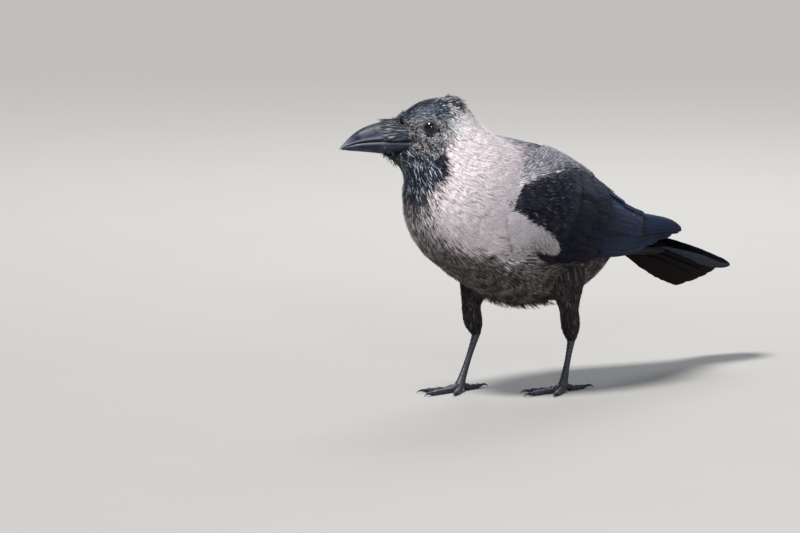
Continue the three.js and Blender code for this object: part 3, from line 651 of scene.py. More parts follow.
def tube_rings(path, across_half, up_half, sides, side_axis=(0, 1, 0)):
    """Rings that face along a path, and the ring angles."""
    ahead = unit(np.gradient(path, axis=0))
    axis = np.array(side_axis, float)
    across = unit(axis - ahead * (ahead @ axis)[:, None])
    up = np.cross(ahead, across)
    a = 2 * np.pi * (np.arange(sides) + 0.5) / sides
    w = np.broadcast_to(across_half, (len(path),))[:, None, None]
    h = np.broadcast_to(up_half, (len(path),))[:, None, None]
    ring = across[:, None] * w * np.cos(a)[None, :, None] + up[:, None] * h * np.sin(a)[None, :, None]
    return path[:, None] + ring, a


# ---- Markings -----------------------------------------------------------------------------

# Edge of the black mask: for an angle above the widest level, the slice ahead of which it is black.
MASK_EDGE = np.array([
    [-90, 8.6], [-60, 8.65], [-40, 8.95], [-24, 8.95], [-15, 8.95], [-6, 9.62], [1, 10.38], [15, 10.9],
    [31, 11.3], [49, 11.6], [75, 12.0], [90, 12.1],
])
# Edge of the black mantle, behind which the back is black.
MANTLE_EDGE = np.array([
    [20, 5.2], [30, 5.7], [39, 5.6], [48, 5.4], [57, 5.6], [66, 6.3], [75, 6.9], [90, 7.6],
])
# Edge of the brown belly, behind which the underside darkens, by its own colour and by painted shade.
BELLY_EDGE = np.array([
    [-90, 7.5], [-77, 7.3], [-68, 7.1], [-59, 6.55], [-48, 5.6], [-39, 5.1], [-27, 4.8], [-18, 4.5],
    [-8, 4.1], [10, 3.2],
])


def level(angle):
    """Degrees above the widest level, the same on both sides."""
    return np.degrees(np.arcsin(np.clip(np.sin(angle * RAD), -1, 1)))


def body_marking(t, angle, rng=None):
    """Black, brown, tone and paleness of the plumage at places on the body, some of it painted shade."""
    high = level(angle)
    jitter = (lambda s: s * np.clip(rng.normal(0, 1, np.shape(t)), -2, 2)) if rng else (lambda s: 0)
    # Behind the crown and below the bib the black fades away in streaks.
    loose, faded, front = ramp(high, 20, 55), ramp(-high, 15, 45), ramp(-high, 50, 75)
    ahead = t - np.interp(high, *MASK_EDGE.T) + jitter(0.14) * (1 + 1.6 * loose + 0.6 * faded)
    mask = ramp(ahead, -0.12 - 0.5 * loose - 0.5 * faded - 1.0 * front, 0.18 + 0.55 * loose + 0.35 * faded)
    mantle = ramp(np.interp(high, *MANTLE_EDGE.T, left=-9) - t + jitter(0.3), -1.1, 2.1)
    # The underside is dark brown of its own, made darker still by painted shade.
    belly = ramp(np.interp(high, *BELLY_EDGE.T) - t + jitter(0.3), -1.0, 1.0)
    vent = ramp(2.7 - t + jitter(0.3), -0.5, 0.7) * ramp(-high, -55, -25)
    belly = np.maximum(belly * ramp(-high, -35, -15), vent)
    # Painted shade over dark feathers in the hollow between the flank and the belly, under the wing's lower
    # edge.
    under_wing_shade = np.exp(-(((high + 16 + 12 * (4.9 - t)) / 6) ** 2)) * ramp(5.0 - t, 0, 0.35) * ramp(t, 2.4, 3.2)
    cheek = np.exp(-(((t - 10.75) / 0.75) ** 2) - ((high - 17) / 20) ** 2)
    gular = np.exp(-(((t - 9.7) / 1.1) ** 2) - ((high + 42) / 34) ** 2) * mask
    pale = cheek * (0.3 + 0.3 * (jitter(1.0) > 0.4)) * (1 - 0.7 * mask) + gular * 0.1 * (jitter(1.0) > 1.0)
    # Where grey fades into the black mantle, dark feather bases show under a bluish tint of painted sky-lit
    # shade.
    pale = pale + 0.22 * ramp(mantle, 0, 0.6) * (1 - 0.8 * ramp(mantle, 0.8, 1))
    pale = pale + 0.13 * mask * np.exp(-(((t - 9.2) / 0.7) ** 2)) * ramp(-high, 38, 62)
    tone = 0.5 + jitter(0.05) + (0.16 * belly + 0.15 * mantle) * jitter(1.0)
    dark = np.maximum(np.maximum(mask, mantle), under_wing_shade)
    return np.stack([dark, belly, np.clip(tone + 0 * t, 0, 1), np.clip(pale, 0, 1)], -1)


def black_marking(n, rng, pale=0.0, brown=0.0):
    """Markings of black feathers, each of its own tone."""
    tone = uneven(rng, n, 0.16)
    full = lambda v: np.broadcast_to(np.asarray(v, float), (n,))
    return np.stack([np.ones(n), full(brown), tone, full(pale)], -1)


def body_bake(t, angle):
    """Root places on an unwrap of the body: once round, and from the tail to the bill."""
    return np.stack([0.01 + 0.98 * np.mod(angle + 90, 360) / 360, 0.01 + 0.98 * np.clip(t / 16, 0, 1)], -1)


def wing_bake(t, across):
    """Where feathers at places on a wing lie on the OFBake layer."""
    return np.stack([0.04 + 0.92 * np.clip((across + 0.2) / 1.3, 0, 1),
                     0.02 + 0.96 * np.clip((t + 0.4) / 8.4, 0, 1)], -1)


# ---- Finishes -----------------------------------------------------------------------------

GLOSS_TINT = (0.62, 0.74, 1.0, 1.0)
# Each kind of plumage: barbs to the millimetre, wear of the edges, shade at the roots, relief, shine,
# and the colour of silvery feathers and of painted sheen; then the strength of the blue and violet
# sheen, how far it spreads, how far it is greyed, and a faint down over it all.
PLUMAGE = {
    "soft plumage": dict(barbs=1.1, wear=0.55, root_shade=0.2, bump=0.15, shine=0.12,
                         silver_and_sheen=(0.36, 0.37, 0.44), down=0.03),
    "glossy plumage": dict(barbs=1.1, wear=0.5, root_shade=0.4, bump=0.35, shine=0.4,
                           silver_and_sheen=(0.38, 0.45, 0.5), gloss=2.6, spread=0.45, ashy=0.4),
    "flight feathers": dict(barbs=1.6, wear=0.5, root_shade=0.1, bump=0.5, shine=0.02,
                            silver_and_sheen=(0.15, 0.26, 0.46), gloss=2.0, spread=0.4),
    "shoulder plumage": dict(barbs=1.6, wear=0.5, root_shade=0.1, bump=0.5, shine=0.02,
                             silver_and_sheen=(0.3, 0.3, 0.4), gloss=1.7, ashy=0.25),
}
# Each kind of horn: roughness, how polished its tip is, and how fine its grain is.
HORN = {"bill horn": (0.44, 0.2, 700.0), "claw horn": (0.34, 0.0, 1200.0)}
SHADOW_BLACK, PUPIL, EYE_RIM = (0.001, 0.001, 0.001, 1), (0.0015, 0.0012, 0.0012, 1), (0.004, 0.003, 0.003, 1)


def feed(tree, target, sockets):
    """Sets or links the sockets of a node, by name or number."""
    for key, value in dict(sockets).items():
        if isinstance(value, bpy.types.NodeSocket):
            tree.links.new(value, target.inputs[key])
        else:
            target.inputs[key].default_value = value


def node(tree, kind, sockets=(), **options):
    """A new node with its sockets set or linked, and its options set."""
    made = tree.nodes.new(kind)
    for key, value in options.items():
        setattr(made, key, value)
    feed(tree, made, sockets)
    return made


def blend(tree, factor, a, b, how="MIX"):
    """One colour blended over another."""
    return node(tree, "ShaderNodeMix", {0: factor, 6: a, 7: b}, data_type="RGBA", blend_type=how).outputs[2]


def maths(tree, how, a, b=0.0, c=0.0):
    """The outcome of a maths node."""
    return node(tree, "ShaderNodeMath", {0: a, 1: b, 2: c}, operation=how).outputs[0]


def remap(tree, value, low, high, to_low=0.0, to_high=1.0):
    """A value moved from one range to another, and kept within it."""
    sockets = {"Value": value, "From Min": low, "From Max": high, "To Min": to_low, "To Max": to_high}
    return node(tree, "ShaderNodeMapRange", sockets).outputs[0]


def noise(tree, where, scale, detail, rough=0.5, **options):
    """Smooth noise between 0 and 1."""
    sockets = {"Vector": where, "Scale": scale, "Detail": detail, "Roughness": rough}
    return node(tree, "ShaderNodeTexNoise", sockets, **options).outputs[0]


def bumps(tree, height, strength, distance):
    """A normal that takes its relief from a height."""
    sockets = {"Height": height, "Strength": strength, "Distance": distance}
    return node(tree, "ShaderNodeBump", sockets).outputs[0]


def greys(tree, value):
    """A grey of that value."""
    return node(tree, "ShaderNodeCombineColor", {0: value, 1: value, 2: value}).outputs[0]


def object_places(tree):
    """Places on the object, in metres."""
    return node(tree, "ShaderNodeTexCoord").outputs["Object"]


def channels(tree, name):
    """The four channels of a colour attribute."""
    read = node(tree, "ShaderNodeAttribute", attribute_name=name)
    split = node(tree, "ShaderNodeSeparateColor", {0: read.outputs["Color"]})
    return (*split.outputs, read.outputs["Alpha"])


def toned(colour, times=1.0, more=0.0):
    """A colour made lighter or darker, with an alpha of one."""
    return (*(min(1, c * times + more) for c in colour), 1.0)


def new_group(name, inputs, outputs):
    """An empty node group with named inputs, as (name, kind, default), and outputs."""
    group = bpy.data.node_groups.new(name, "ShaderNodeTree")
    for key, kind, default in inputs:
        socket = group.interface.new_socket(name=key, in_out="INPUT", socket_type="NodeSocket" + kind)
        socket.default_value = default
    for key, kind in outputs:
        group.interface.new_socket(name=key, in_out="OUTPUT", socket_type="NodeSocket" + kind)
    return group, group.nodes.new("NodeGroupInput").outputs, group.nodes.new("NodeGroupOutput")


def new_material(name):
    """A material with its node tree and its main shader."""
    material = bpy.data.materials.new(name)
    material.use_nodes = True
    return material, material.node_tree, material.node_tree.nodes["Principled BSDF"]


def even_share(tree, share):
    """A share of a darker colour that darkens evenly to the eye."""
    rest = maths(tree, "SUBTRACT", 1.0, share)
    return maths(tree, "SUBTRACT", 1.0, maths(tree, "MULTIPLY", rest, rest))


def feather_group():
    """Colour, roughness and relief of a feather, from its markings and its barbs."""
    colours = [(key, "Color", toned((0.1, 0.1, 0.1)))
               for key in ("Grey", "Brown", "Black", "Blue", "Violet", "Pale", "Silver and sheen")]
    numbers = [("Barbs per mm", "Float", 1.3), ("Edge wear", "Float", 0.0), ("Root shade", "Float", 0.5),
               ("Gloss spread", "Float", 0.35)]
    outputs = [("Color", "Color"), ("Roughness", "Float"), ("Height", "Float")]
    group, given, out = new_group("Feather tone", colours + numbers, outputs)
    blacker, browner, toner, paler = channels(group, "marking")
    edge, along, hue, wear = channels(group, "vane")
    barb = node(group, "ShaderNodeUVMap", uv_map="barb").outputs[0]
    split = node(group, "ShaderNodeSeparateXYZ", {0: barb}).outputs
    # Barbs leave the shaft on both sides and run out and towards the tip.
    slant = maths(group, "MULTIPLY_ADD", edge, -0.03, split[1])
    fine = node(group, "ShaderNodeCombineXYZ", {0: split[0], 1: slant}).outputs[0]
    lines = node(group, "ShaderNodeMapping", {"Vector": fine, "Scale": (0.35, 1.0, 1.0)}).outputs[0]
    scale = maths(group, "MULTIPLY", given["Barbs per mm"], 100.0)
    streak = noise(group, lines, scale, 2.0, 0.55, noise_dimensions="2D")
    places = object_places(group)
    cloud, grain = noise(group, places, 38.0, 2.0), noise(group, places, 140.0, 3.0)
    sheen = blend(group, remap(group, cloud, 0.42, 0.58), given["Blue"], given["Violet"])
    lit = maths(group, "MULTIPLY_ADD", hue, given["Gloss spread"], grain)
    black = blend(group, remap(group, lit, 0.5, 0.95), given["Black"], sheen)
    # Where a black feather is also marked brown, it has lost its gloss.
    dull = blend(group, 0.22, given["Black"], given["Brown"])
    black = blend(group, browner, black, dull)
    grey = blend(group, even_share(group, browner), given["Grey"], given["Brown"])
    colour = blend(group, even_share(group, blacker), grey, black)
    # Pale marks show silvery feathers and painted sheen; brown-marked feathers take the pale colour.
    light = blend(group, browner, given["Silver and sheen"], given["Pale"])
    colour = blend(group, paler, colour, light)
    rim = maths(group, "MULTIPLY", remap(group, edge, 0.9, 0.99), wear)
    colour = blend(group, maths(group, "MULTIPLY", rim, given["Edge wear"]), colour, light)
    tone = maths(group, "MULTIPLY", remap(group, toner, 0.0, 1.0, 0.62, 1.38),
                 remap(group, streak, 0.3, 0.7, 0.8, 1.2))
    shade = maths(group, "SUBTRACT", 1.0, given["Root shade"])
    tone = maths(group, "MULTIPLY", tone, remap(group, along, 0.0, 0.7, shade))
    colour = blend(group, 1.0, colour, greys(group, tone), "MULTIPLY")
    rough = maths(group, "MULTIPLY_ADD", browner, 0.16, remap(group, blacker, 0.0, 1.0, 0.8, 0.42))
    rough = maths(group, "ADD", rough, remap(group, grain, 0.3, 0.7, -0.06, 0.1))
    feed(group, out, {"Color": colour, "Roughness": rough, "Height": streak})
    return group


def plumage_material(name, barbs, wear, root_shade, bump, shine, silver_and_sheen, gloss=1.0, spread=0.35, ashy=0.0,
                     down=0.0):
    """Feathers of one kind: its markings, barbs, relief and sheen."""
    plumage = settings()[0]
    bright = lambda colour: [mix(c, sum(colour) / 3, ashy) * gloss for c in colour]
    material, tree, shader = new_material(name)
    colours = {"Grey": plumage.collar, "Brown": plumage.belly, "Black": plumage.black, "Silver and sheen": silver_and_sheen,
               "Blue": bright(plumage.blue), "Violet": bright(plumage.violet), "Pale": plumage.pale}
    group = bpy.data.node_groups.get("Feather tone") or feather_group()
    tone = node(tree, "ShaderNodeGroup", node_tree=group)
    feed(tree, tone, {key: toned(colour) for key, colour in colours.items()})
    feed(tree, tone, {"Barbs per mm": barbs, "Edge wear": wear, "Root shade": root_shade,
                      "Gloss spread": spread})
    feed(tree, shader, {
        "Base Color": tone.outputs["Color"], "Roughness": tone.outputs["Roughness"],
        "Normal": bumps(tree, tone.outputs["Height"], bump, 0.0004), "Specular IOR Level": shine,
        "Specular Tint": GLOSS_TINT})
    if down:
        feed(tree, shader, {"Sheen Weight": down, "Sheen Roughness": 0.4})
    return material


def horn_material(name, colour, roughness, polish, fine):
    """Dark horn, with faint growth lines, worn paler patches, painted highlights and painted shade in its
    gaps.
    """
    material, tree, shader = new_material(name)
    places = object_places(tree)
    wide, small = noise(tree, places, fine * 0.25, 4.0), noise(tree, places, fine, 6.0, 0.6)
    base = blend(tree, remap(tree, wide, 0.4, 0.72), toned(colour, 0.7), toned(colour, 2.4, 0.004))
    lightened, polished, gap_shade, _ = channels(tree, "vane")
    # Paler patches: worn edges, and a painted highlight near the bill's tip.
    base = blend(tree, lightened, base, toned(colour, 6, 0.05))
    # Painted shade: black in the gap between the mandibles.
    base = blend(tree, gap_shade, base, SHADOW_BLACK)
    rough = remap(tree, small, 0.3, 0.75, roughness - 0.05, roughness + 0.12)
    rough = maths(tree, "MULTIPLY_ADD", polished, -polish, rough)
    feed(tree, shader, {"Base Color": base, "Roughness": rough, "Specular IOR Level": 0.24,
                        "Normal": bumps(tree, small, 0.22, 0.0003)})
    return material


def scale_material(name, colour):
    """Scaled skin: dark plates with a dry, paler rim."""
    material, tree, shader = new_material(name)
    dry = channels(tree, "vane")[0]
    places = object_places(tree)
    sockets = {"Vector": places, "Scale": 900.0}
    cells = node(tree, "ShaderNodeTexVoronoi", sockets, feature="DISTANCE_TO_EDGE").outputs[0]
    grain = noise(tree, places, 500.0, 4.0)
    base = blend(tree, remap(tree, grain, 0.35, 0.7), toned(colour), toned(colour, 2.3, 0.004))
    seam = maths(tree, "MULTIPLY", remap(tree, cells, 0.0, 0.16, 1.0, 0.0), 0.35)
    base = blend(tree, seam, base, toned(colour, 0.5))
    base = blend(tree, maths(tree, "MULTIPLY", dry, 0.75), base, toned(colour, 5, 0.03))
    height = maths(tree, "ADD", maths(tree, "MULTIPLY", cells, 0.7), maths(tree, "MULTIPLY", grain, 0.3))
    feed(tree, shader, {"Base Color": base, "Roughness": remap(tree, grain, 0.3, 0.7, 0.36, 0.6),
                        "Normal": bumps(tree, height, 0.35, 0.0004), "Specular IOR Level": 0.5})
    return material


def eye_material(name, iris, centre, axis):
    """A wet dark eye: black pupil, brown iris, under a clear front."""
    material, tree, shader = new_material(name)
    places = object_places(tree)
    middle = tuple((centre + SHIFT) / 1000)
    offset = node(tree, "ShaderNodeVectorMath", {0: places, 1: middle}, operation="SUBTRACT").outputs[0]
    facing = node(tree, "ShaderNodeVectorMath", {0: offset, 1: tuple(axis)}, operation="DOT_PRODUCT")
    share = maths(tree, "DIVIDE", facing.outputs["Value"], EYE_RADIUS / 1000)
    streaks = remap(tree, noise(tree, places, 1500.0, 3.0), 0.3, 0.7, 0.5, 1.3)
    lit = maths(tree, "MULTIPLY", streaks, remap(tree, share, 0.74, 0.9, 1.0, 0.5))
    ring = blend(tree, 1.0, toned(iris), greys(tree, lit), "MULTIPLY")
    base = blend(tree, remap(tree, share, 0.86, 0.9), ring, PUPIL)
    base = blend(tree, remap(tree, share, 0.72, 0.66), base, EYE_RIM)
    feed(tree, shader, {"Base Color": base, "Roughness": 0.05, "Coat Weight": 0.1, "Coat Roughness": 0.03,
                        "Specular IOR Level": 0.4})
    return material


FINISHES = {}


def finish(name):
    """The finish of that name, made when it is first used."""
    if name not in FINISHES:
        horn = settings()[1]
        if name in PLUMAGE:
            FINISHES[name] = plumage_material(name.capitalize(), **PLUMAGE[name])
        elif name in HORN:
            FINISHES[name] = horn_material(name.capitalize(), horn.bill, *HORN[name])
        else:
            FINISHES[name] = scale_material(name.capitalize(), horn.leg)
    return FINISHES[name]


# ---- Pieces -------------------------------------------------------------------------------

# One seed for each piece or group of pieces.
SEEDS = {"body": 11, "head": 23, "wings": 31, "wing front": 37, "back": 43, "tail": 41, "thighs": 47}
# Metres across one cell of the skin, and how it is smoothed.
SKIN_VOXEL, SMOOTH_SHARE, SMOOTH_TIMES = 0.0018, 0.5, 6
# The parts of two shells' grids that hide feathers: the middle of a wing, and the body behind the neck.
WING_COVER = (slice(12, 90, 2), slice(14, 52, 2))
UNDER_NECK = (slice(0, 110, 2), slice(2, -2, 2))
# The pieces of the body's coat, each with the slice where it begins.
COAT_BANDS = [("vent", -1), ("belly", 2.9), ("flank", 4.6), ("lower_breast", 5.9), ("breast", 7.1),
              ("neck", 8.3), ("nape", 9.5), ("", 11)]


def apart(millimetres):
    """A spacing of feathers, closer where the plumage is set to be denser."""
    return millimetres * (1 / math.sqrt(settings()[0].density))


def uneven(rng, n, spread):
    """Shares about a half, kept between 0 and 1."""
    return np.clip(0.5 + rng.normal(0, spread, n), 0, 1)


def coat_depth(t):
    """Millimetres from the tips of the plumage down to the skin, at a slice of the body."""
    full = settings()[0].coat_depth * 1000
    return full * np.interp(t, [0, 4, 8, 10, 11.5, 13, 15], [0.9, 1.1, 1, 0.75, 0.5, 0.36, 0.22])


def shin_path(leg):
    """The middle line of a feathered thigh and shin, and the share of the way down it."""
    points = np.array([leg["hip"], leg["knee"], leg["ankle"]], float)
    u = np.linspace(0, 1, 31)
    return read_rows(points, u * 2), u


def shin_radii(u):
    """Half the width of a feathered leg across and ahead, at a share of the way down."""
    taper, thigh = ramp(u, 0.72, 1.04), 1 - ramp(u, 0.1, 0.55)
    return mix(SHIN_HALF + 6 * thigh, 3.2, taper), mix(SHIN_HALF + 11 * thigh, 3.3, taper)


class CROW_OT_skin(bpy.types.Operator):
    """Adds the one skin under the plumage, from the bill to the tail and down the thighs"""

    bl_idname = "crow.skin"
    bl_label = "Skin"

    def execute(self, context):
        pile = Pile()
        t, r = np.meshgrid(np.linspace(0.02, 15.9, 100), np.linspace(0, 360, 61)[:-1], indexing="ij")
        place, normal, _, _ = BODY_SHELL.read(t, r)
        ring_mesh(pile, place - normal * coat_depth(t)[..., None])
        for side in (-1, 1):
            slices, heights = np.linspace(0.05, WING_CORE_END, 30), np.linspace(0.02, 0.98, 24)
            t, q = np.meshgrid(slices, heights, indexing="ij")
            rear = np.maximum(0, t - WING_CORE_END + 1) ** 2
            edge = 4 * np.abs(2 * q - 1) ** 10 + 4 * np.maximum(0, 1 - t / 0.3) ** 2
            outer = wing_point(side, t, q, -2.2 - 1.8 * ramp(t, 2.2, 2.8) - edge - 1.5 * rear)
            inner = wing_point(side, t, q, 3 * rear - 9.5)
            ring_mesh(pile, np.concatenate([outer, inner[:, ::-1]], 1))
        along = np.linspace(-16, TAIL_CORE, 24)[:, None]
        u = np.clip((along + 14) / (TAIL_CORE + 14), 0, 1)
        a = np.linspace(0, 2 * np.pi, 29)[None, :-1]
        wide, tall = 14.5 * np.sqrt(1 - 0.55 * u**3), mix(14, 3.4, u**0.9)
        ring_mesh(pile, tail_point(along, wide * np.cos(a), tall * np.sin(a) - 3.5 * u))
        for leg in LEGS.values():
            path, u = shin_path(leg)
            across, up = shin_radii(u)
            ring_mesh(pile, tube_rings(path, across - 1.8 * (1 - u) - 0.6, up - 1.8 * (1 - u) - 0.6, 24)[0])
        skin = pile.make("skin", finish("soft plumage"))
        select_only(skin)
        remesh = skin.modifiers.new("Remesh", "REMESH")
        remesh.mode, remesh.voxel_size = "VOXEL", SKIN_VOXEL
        bpy.ops.object.modifier_apply(modifier="Remesh")
        ease = skin.modifiers.new("Smooth", "SMOOTH")
        ease.factor, ease.iterations = SMOOTH_SHARE, SMOOTH_TIMES
        bpy.ops.object.modifier_apply(modifier="Smooth")
        bpy.ops.object.shade_smooth()
        mark_skin(skin)
        keep(skin, "body_feathers", "head", "neck", "torso", "left_thigh", "right_thigh")
        return {"FINISHED"}


def mark_skin(skin):
    """Gives the skin the markings of the plumage over it."""
    t, r = np.meshgrid(np.linspace(0, 16, 129), np.arange(0, 360, 6.0), indexing="ij")
    places = [(BODY_SHELL.read(t, r)[0].reshape(-1, 3), body_marking(t, r).reshape(-1, 4))]
    tq = np.meshgrid(np.linspace(0.2, WING_CORE_END, 40), np.linspace(0.05, 0.95, 20), indexing="ij")
    for side in (-1, 1):
        wing = wing_point(side, *tq, -2).reshape(-1, 3)
        places.append((wing, np.tile([1, 0, 0.5, 0.0], (len(wing), 1))))
    tail = tail_point(np.linspace(6, TAIL_CORE, 20), 0, 0)
    places.append((tail, np.tile([1, 0, 0.4, 0.0], (len(tail), 1))))
    for leg in LEGS.values():
        path, u = shin_path(leg)
        below = tube_rings(path, *shin_radii(u), 24)[0].reshape(-1, 3)
        places.append((below, np.tile([0.35, 0.9, 0.4, 0.0], (len(below), 1))))
    points, marks = (np.concatenate([p[k] for p in places]) for k in (0, 1))
    tree = nearest(points)
    co = np.empty(len(skin.data.vertices) * 3, np.float32)
    skin.data.vertices.foreach_get("co", co)
    near = [tree.find(p)[1] for p in co.reshape(-1, 3) * 1000 - SHIFT]
    flat = np.tile([0.3, 0.3, 0.5, 0.0], (len(near), 1))
    for key, values in (("marking", marks[near] * [1, 1, 0.8, 1]), ("vane", flat)):
        if key in skin.data.attributes:
            skin.data.attributes.remove(skin.data.attributes[key])
        set_colours(skin.data, key, values)


def select_only(made):
    """Selects one object and makes it the active one."""
    bpy.ops.object.select_all(action="DESELECT")
    made.select_set(True)
    bpy.context.view_layer.objects.active = made


def away_from_eye(places):
    """Distance of each place from the nearer eye's axis, in millimetres."""
    away = np.full(len(places), 99.0)
    for side in (-1, 1):
        out, off, _ = from_eye(places, side)
        away = np.where(out > -2, np.minimum(away, off), away)
    return away


def nearest(points):
    """A tree that finds the nearest of many points."""
    tree = KDTree(len(points))
    for i, point in enumerate(points):
        tree.insert(point, i)
    tree.balance()
    return tree


def outside(grid, places):
    """Millimetres that places stand out from a grid of a shell, and their distance from it."""
    grid = grid.reshape(-1, 8)
    tree = nearest(grid[:, :3])
    k, off = (np.array(found) for found in zip(*(tree.find(p)[1:] for p in places)))
    return ((places - grid[k, :3]) * grid[k, 3:6]).sum(-1), off


def under_wing(t, r):
    """True where a place on the body is well covered by a folded wing."""
    places = BODY_SHELL.read(t, r)[0]
    hidden = np.zeros(len(t), bool)
    for side, shell in WING_SHELLS.items():
        sunk, off = outside(shell.grid[WING_COVER], places)
        hidden |= (sunk < -0.5) & (off < np.abs(sunk) * 1.25 + 0.5) & (places[:, 1] * side > 10)
    return hidden


def body_sizes(t, high):
    """Length and half width of the small feathers at slices t, high degrees above the widest level."""
    length = np.interp(t, [0, 3, 6, 8, 9.5, 11, 12, 13.5, 15.4], [17, 17, 14, 11.5, 10, 7.5, 5.2, 4.4, 3])
    throat = np.exp(-(((t - 9.6) / 1.2) ** 2)) * ramp(-high, 5, 40)
    crown = ramp(t, 11.2, 12) * ramp(high, 15, 50)
    length = length * (1 + 0.12 * throat + 0.12 * crown)
    half = np.interp(t, [0, 4, 7, 9, 11, 12, 15.4], [4.8, 4.8, 4, 3.1, 2.1, 1.6, 0.9])
    return length, half * (1 - 0.35 * throat)


class CROW_OT_body_coat(bpy.types.Operator):
    """Adds the soft plumage of the neck, breast, back and belly"""

    bl_idname = "crow.body_coat"
    bl_label = "Body plumage"

    def execute(self, context):
        plumage = settings()[0]
        rng = np.random.default_rng(SEEDS["body"])
        spacing = lambda t: apart(np.interp(t, [0, 4, 8, 10.6], [4.2, 3.5, 2.9, 2.3]))
        t, r = BODY_SHELL.lattice(0.1, 10.7, spacing, rng)
        shown = ~under_wing(t, r)
        t, r = t[shown], r[shown]
        high = level(r)
        length, half = body_sizes(t, high)
        left = np.sign(np.cos(r * RAD))
        # Flank feathers sweep up towards the wing, and the breast sweeps down and back.
        flank = np.exp(-(((high + 25) / 28) ** 2)) * (1 - ramp(t, 6.0, 9)) * ramp(t, 0.5, 2.5)
        heading = left * (0.55 * flank)
        ruffled = np.exp(-(((t - 4.3) / 1.5) ** 2)) * ramp(-high, 62, 80)
        stand = rng.normal(0.1, 0.25, len(t)) + 1.6 * ruffled * rng.uniform(0, 1, len(t))
        # Long mantle feathers lie over the step where the wing begins.
        bridge = np.exp(-(((t - 5.5) / 0.55) ** 2) - ((high - 62) / 17) ** 2)
        stand, length = stand + 2.4 * bridge, length + 4 * bridge
        depth = coat_depth(t) + 0.8
        seen = t - 0.7 * length / BODY_SHELL.read(t, r)[2]
        marking = body_marking(seen, r, rng)
        banded = 0.9 * ramp(marking[:, 1], 0.03, 0.4) * (rng.uniform(0, 1, len(t)) < 0.7)
        banded = banded * (1 - marking[:, 0])
        # Painted glints: silvery flecks on the black back stand for the gloss of its feathers.
        painted_glints = 0.3 * marking[:, 0] * ramp(high, 20, 40)
        for (name, low), (_, end) in zip(COAT_BANDS, COAT_BANDS[1:]):
            pile = Pile()
            k = (t >= low) & (t < end)
            lay_tufts(pile, BODY_SHELL, t[k], r[k], rng, length=length[k] * plumage.length,
                      half=half[k], marking=marking[k], bake=body_bake(t[k], r[k]), heading=heading[k],
                      blades=12, slim=1.3, depth=depth[k], stand=stand[k], tilt=0.2,
                      flecks=(painted_glints[k], 0.4), wear=banded[k] * rng.uniform(0.2, 1, k.sum()))
            if name == "belly":
                self.hang(pile, rng)
            put(pile, f"coat_{name}", "soft plumage", "grey_feathers")
        return {"FINISHED"}

    def hang(self, pile, rng):
        """Loose dark feathers that hang from the belly between the legs."""
        n = 90
        t, r = rng.uniform(2.9, 5.0, n), 270 + rng.normal(0, 13, n)
        lay_tufts(pile, BODY_SHELL, t, r, rng, length=rng.uniform(10, 15, n), half=2.4,
                  marking=black_marking(n, rng, brown=0.9) * [0.55, 1, 1, 1], bake=body_bake(t, r),
                  blades=6, depth=2, stand=rng.uniform(1, 5.5, n), fan=0.5, shares=(0, 0.35, 0.7, 1),
                  wild=1.6, slim=0.9)


class CROW_OT_head_coat(bpy.types.Operator):
    """Adds the small feathers of the face and crown, the throat hackles, crest and bristles"""

    bl_idname = "crow.head_coat"
    bl_label = "Head plumage"

    def execute(self, context):
        plumage = settings()[0]
        rng = np.random.default_rng(SEEDS["head"])
        pile = Pile()
        spacing = lambda t: apart(np.interp(t, [10.6, 12, 13.5, 15.4], [1.75, 1.5, 1.35, 1.15]))
        t, r = BODY_SHELL.lattice(10.6, 15.95, spacing, rng)
        places = BODY_SHELL.read(t, r)[0]
        bare = (ahead_of_face(places) > 0.2) & (places[:, 2] > 179.6)
        clear = (away_from_eye(places) > 4.8) & ~bare & ((t < 15.35) | (places[:, 2] > 201))
        t, r, places = t[clear], r[clear], places[clear]
        high = level(r)
        length, half = body_sizes(t, high)
        near = np.exp(-(((away_from_eye(places) - 5) / 3.0) ** 2))
        length = length * (1 - 0.45 * near)
        left = np.sign(np.cos(r * RAD))
        crest = np.exp(-(((t - 12.05) / 0.3) ** 2)) * ramp(high, 60, 80)
        brow = ramp(t, 14.9, 15.5) * ramp(places[:, 2], 202, 207)
        stand = rng.normal(0, 0.18, len(t)) + (2.2 * crest + 1.7 * brow) * rng.uniform(0, 1, len(t))
        stand = stand - 0.3 * near
        marking = body_marking(t - 0.7 * length / BODY_SHELL.read(t, r)[2], r, rng)
        # The face is duller than the crown, with curled, brown-tipped feathers; its pale flecks are painted
        # glints on the curls.
        face = (1 - ramp(high, 14, 34)) * ramp(t, 9.9, 10.8) * ramp(high, -70, -30)
        marking[:, 1] = np.maximum(marking[:, 1], 0.8 * face)
        streaky = ramp(high, 10, 35) * (1 - ramp(t, 11.6, 12.6))
        marking[:, 1] = np.maximum(marking[:, 1], 0.35 * streaky * ramp(t, 10.7, 11.6))
        flecks = 0.12 + 0.55 * face * ramp(t, 10, 12.2) + 0.3 * streaky + 0.35 * near * near + 0.25 * brow
        curl = rng.normal(0, 1, len(t)) * 0.55 * face
        lay_tufts(pile, BODY_SHELL, t, r, rng, length=length * plumage.length, half=half, marking=marking,
                  bake=body_bake(t, r), heading=eye_sweep(places, left) + curl, blades=4, slim=1.0,
                  depth=coat_depth(t) + 0.4, stand=stand, shares=(0, 0.5, 1), wild=1.4, mottle=0.2,
                  flecks=(flecks, 0.6))
        put(pile, "coat_head", "glossy plumage", "black_feathers")
        add_hackles(rng, plumage)
        add_bristles(rng)
        return {"FINISHED"}


def eye_sweep(places, left):
    """Turns the feathers near an eye so that they part round it."""
    heading = np.zeros(len(places))
    for side in (-1, 1):
        out, off, offset = from_eye(places, side)
        near = np.exp(-(((off - 5) / 4.0) ** 2)) * (out > 0)
        above = offset[:, 2] / np.maximum(off, 1)
        front = np.clip(1 - np.abs(above), 0, 1)
        heading = heading + near * np.sign(above) * front * 0.9 * left
    return heading


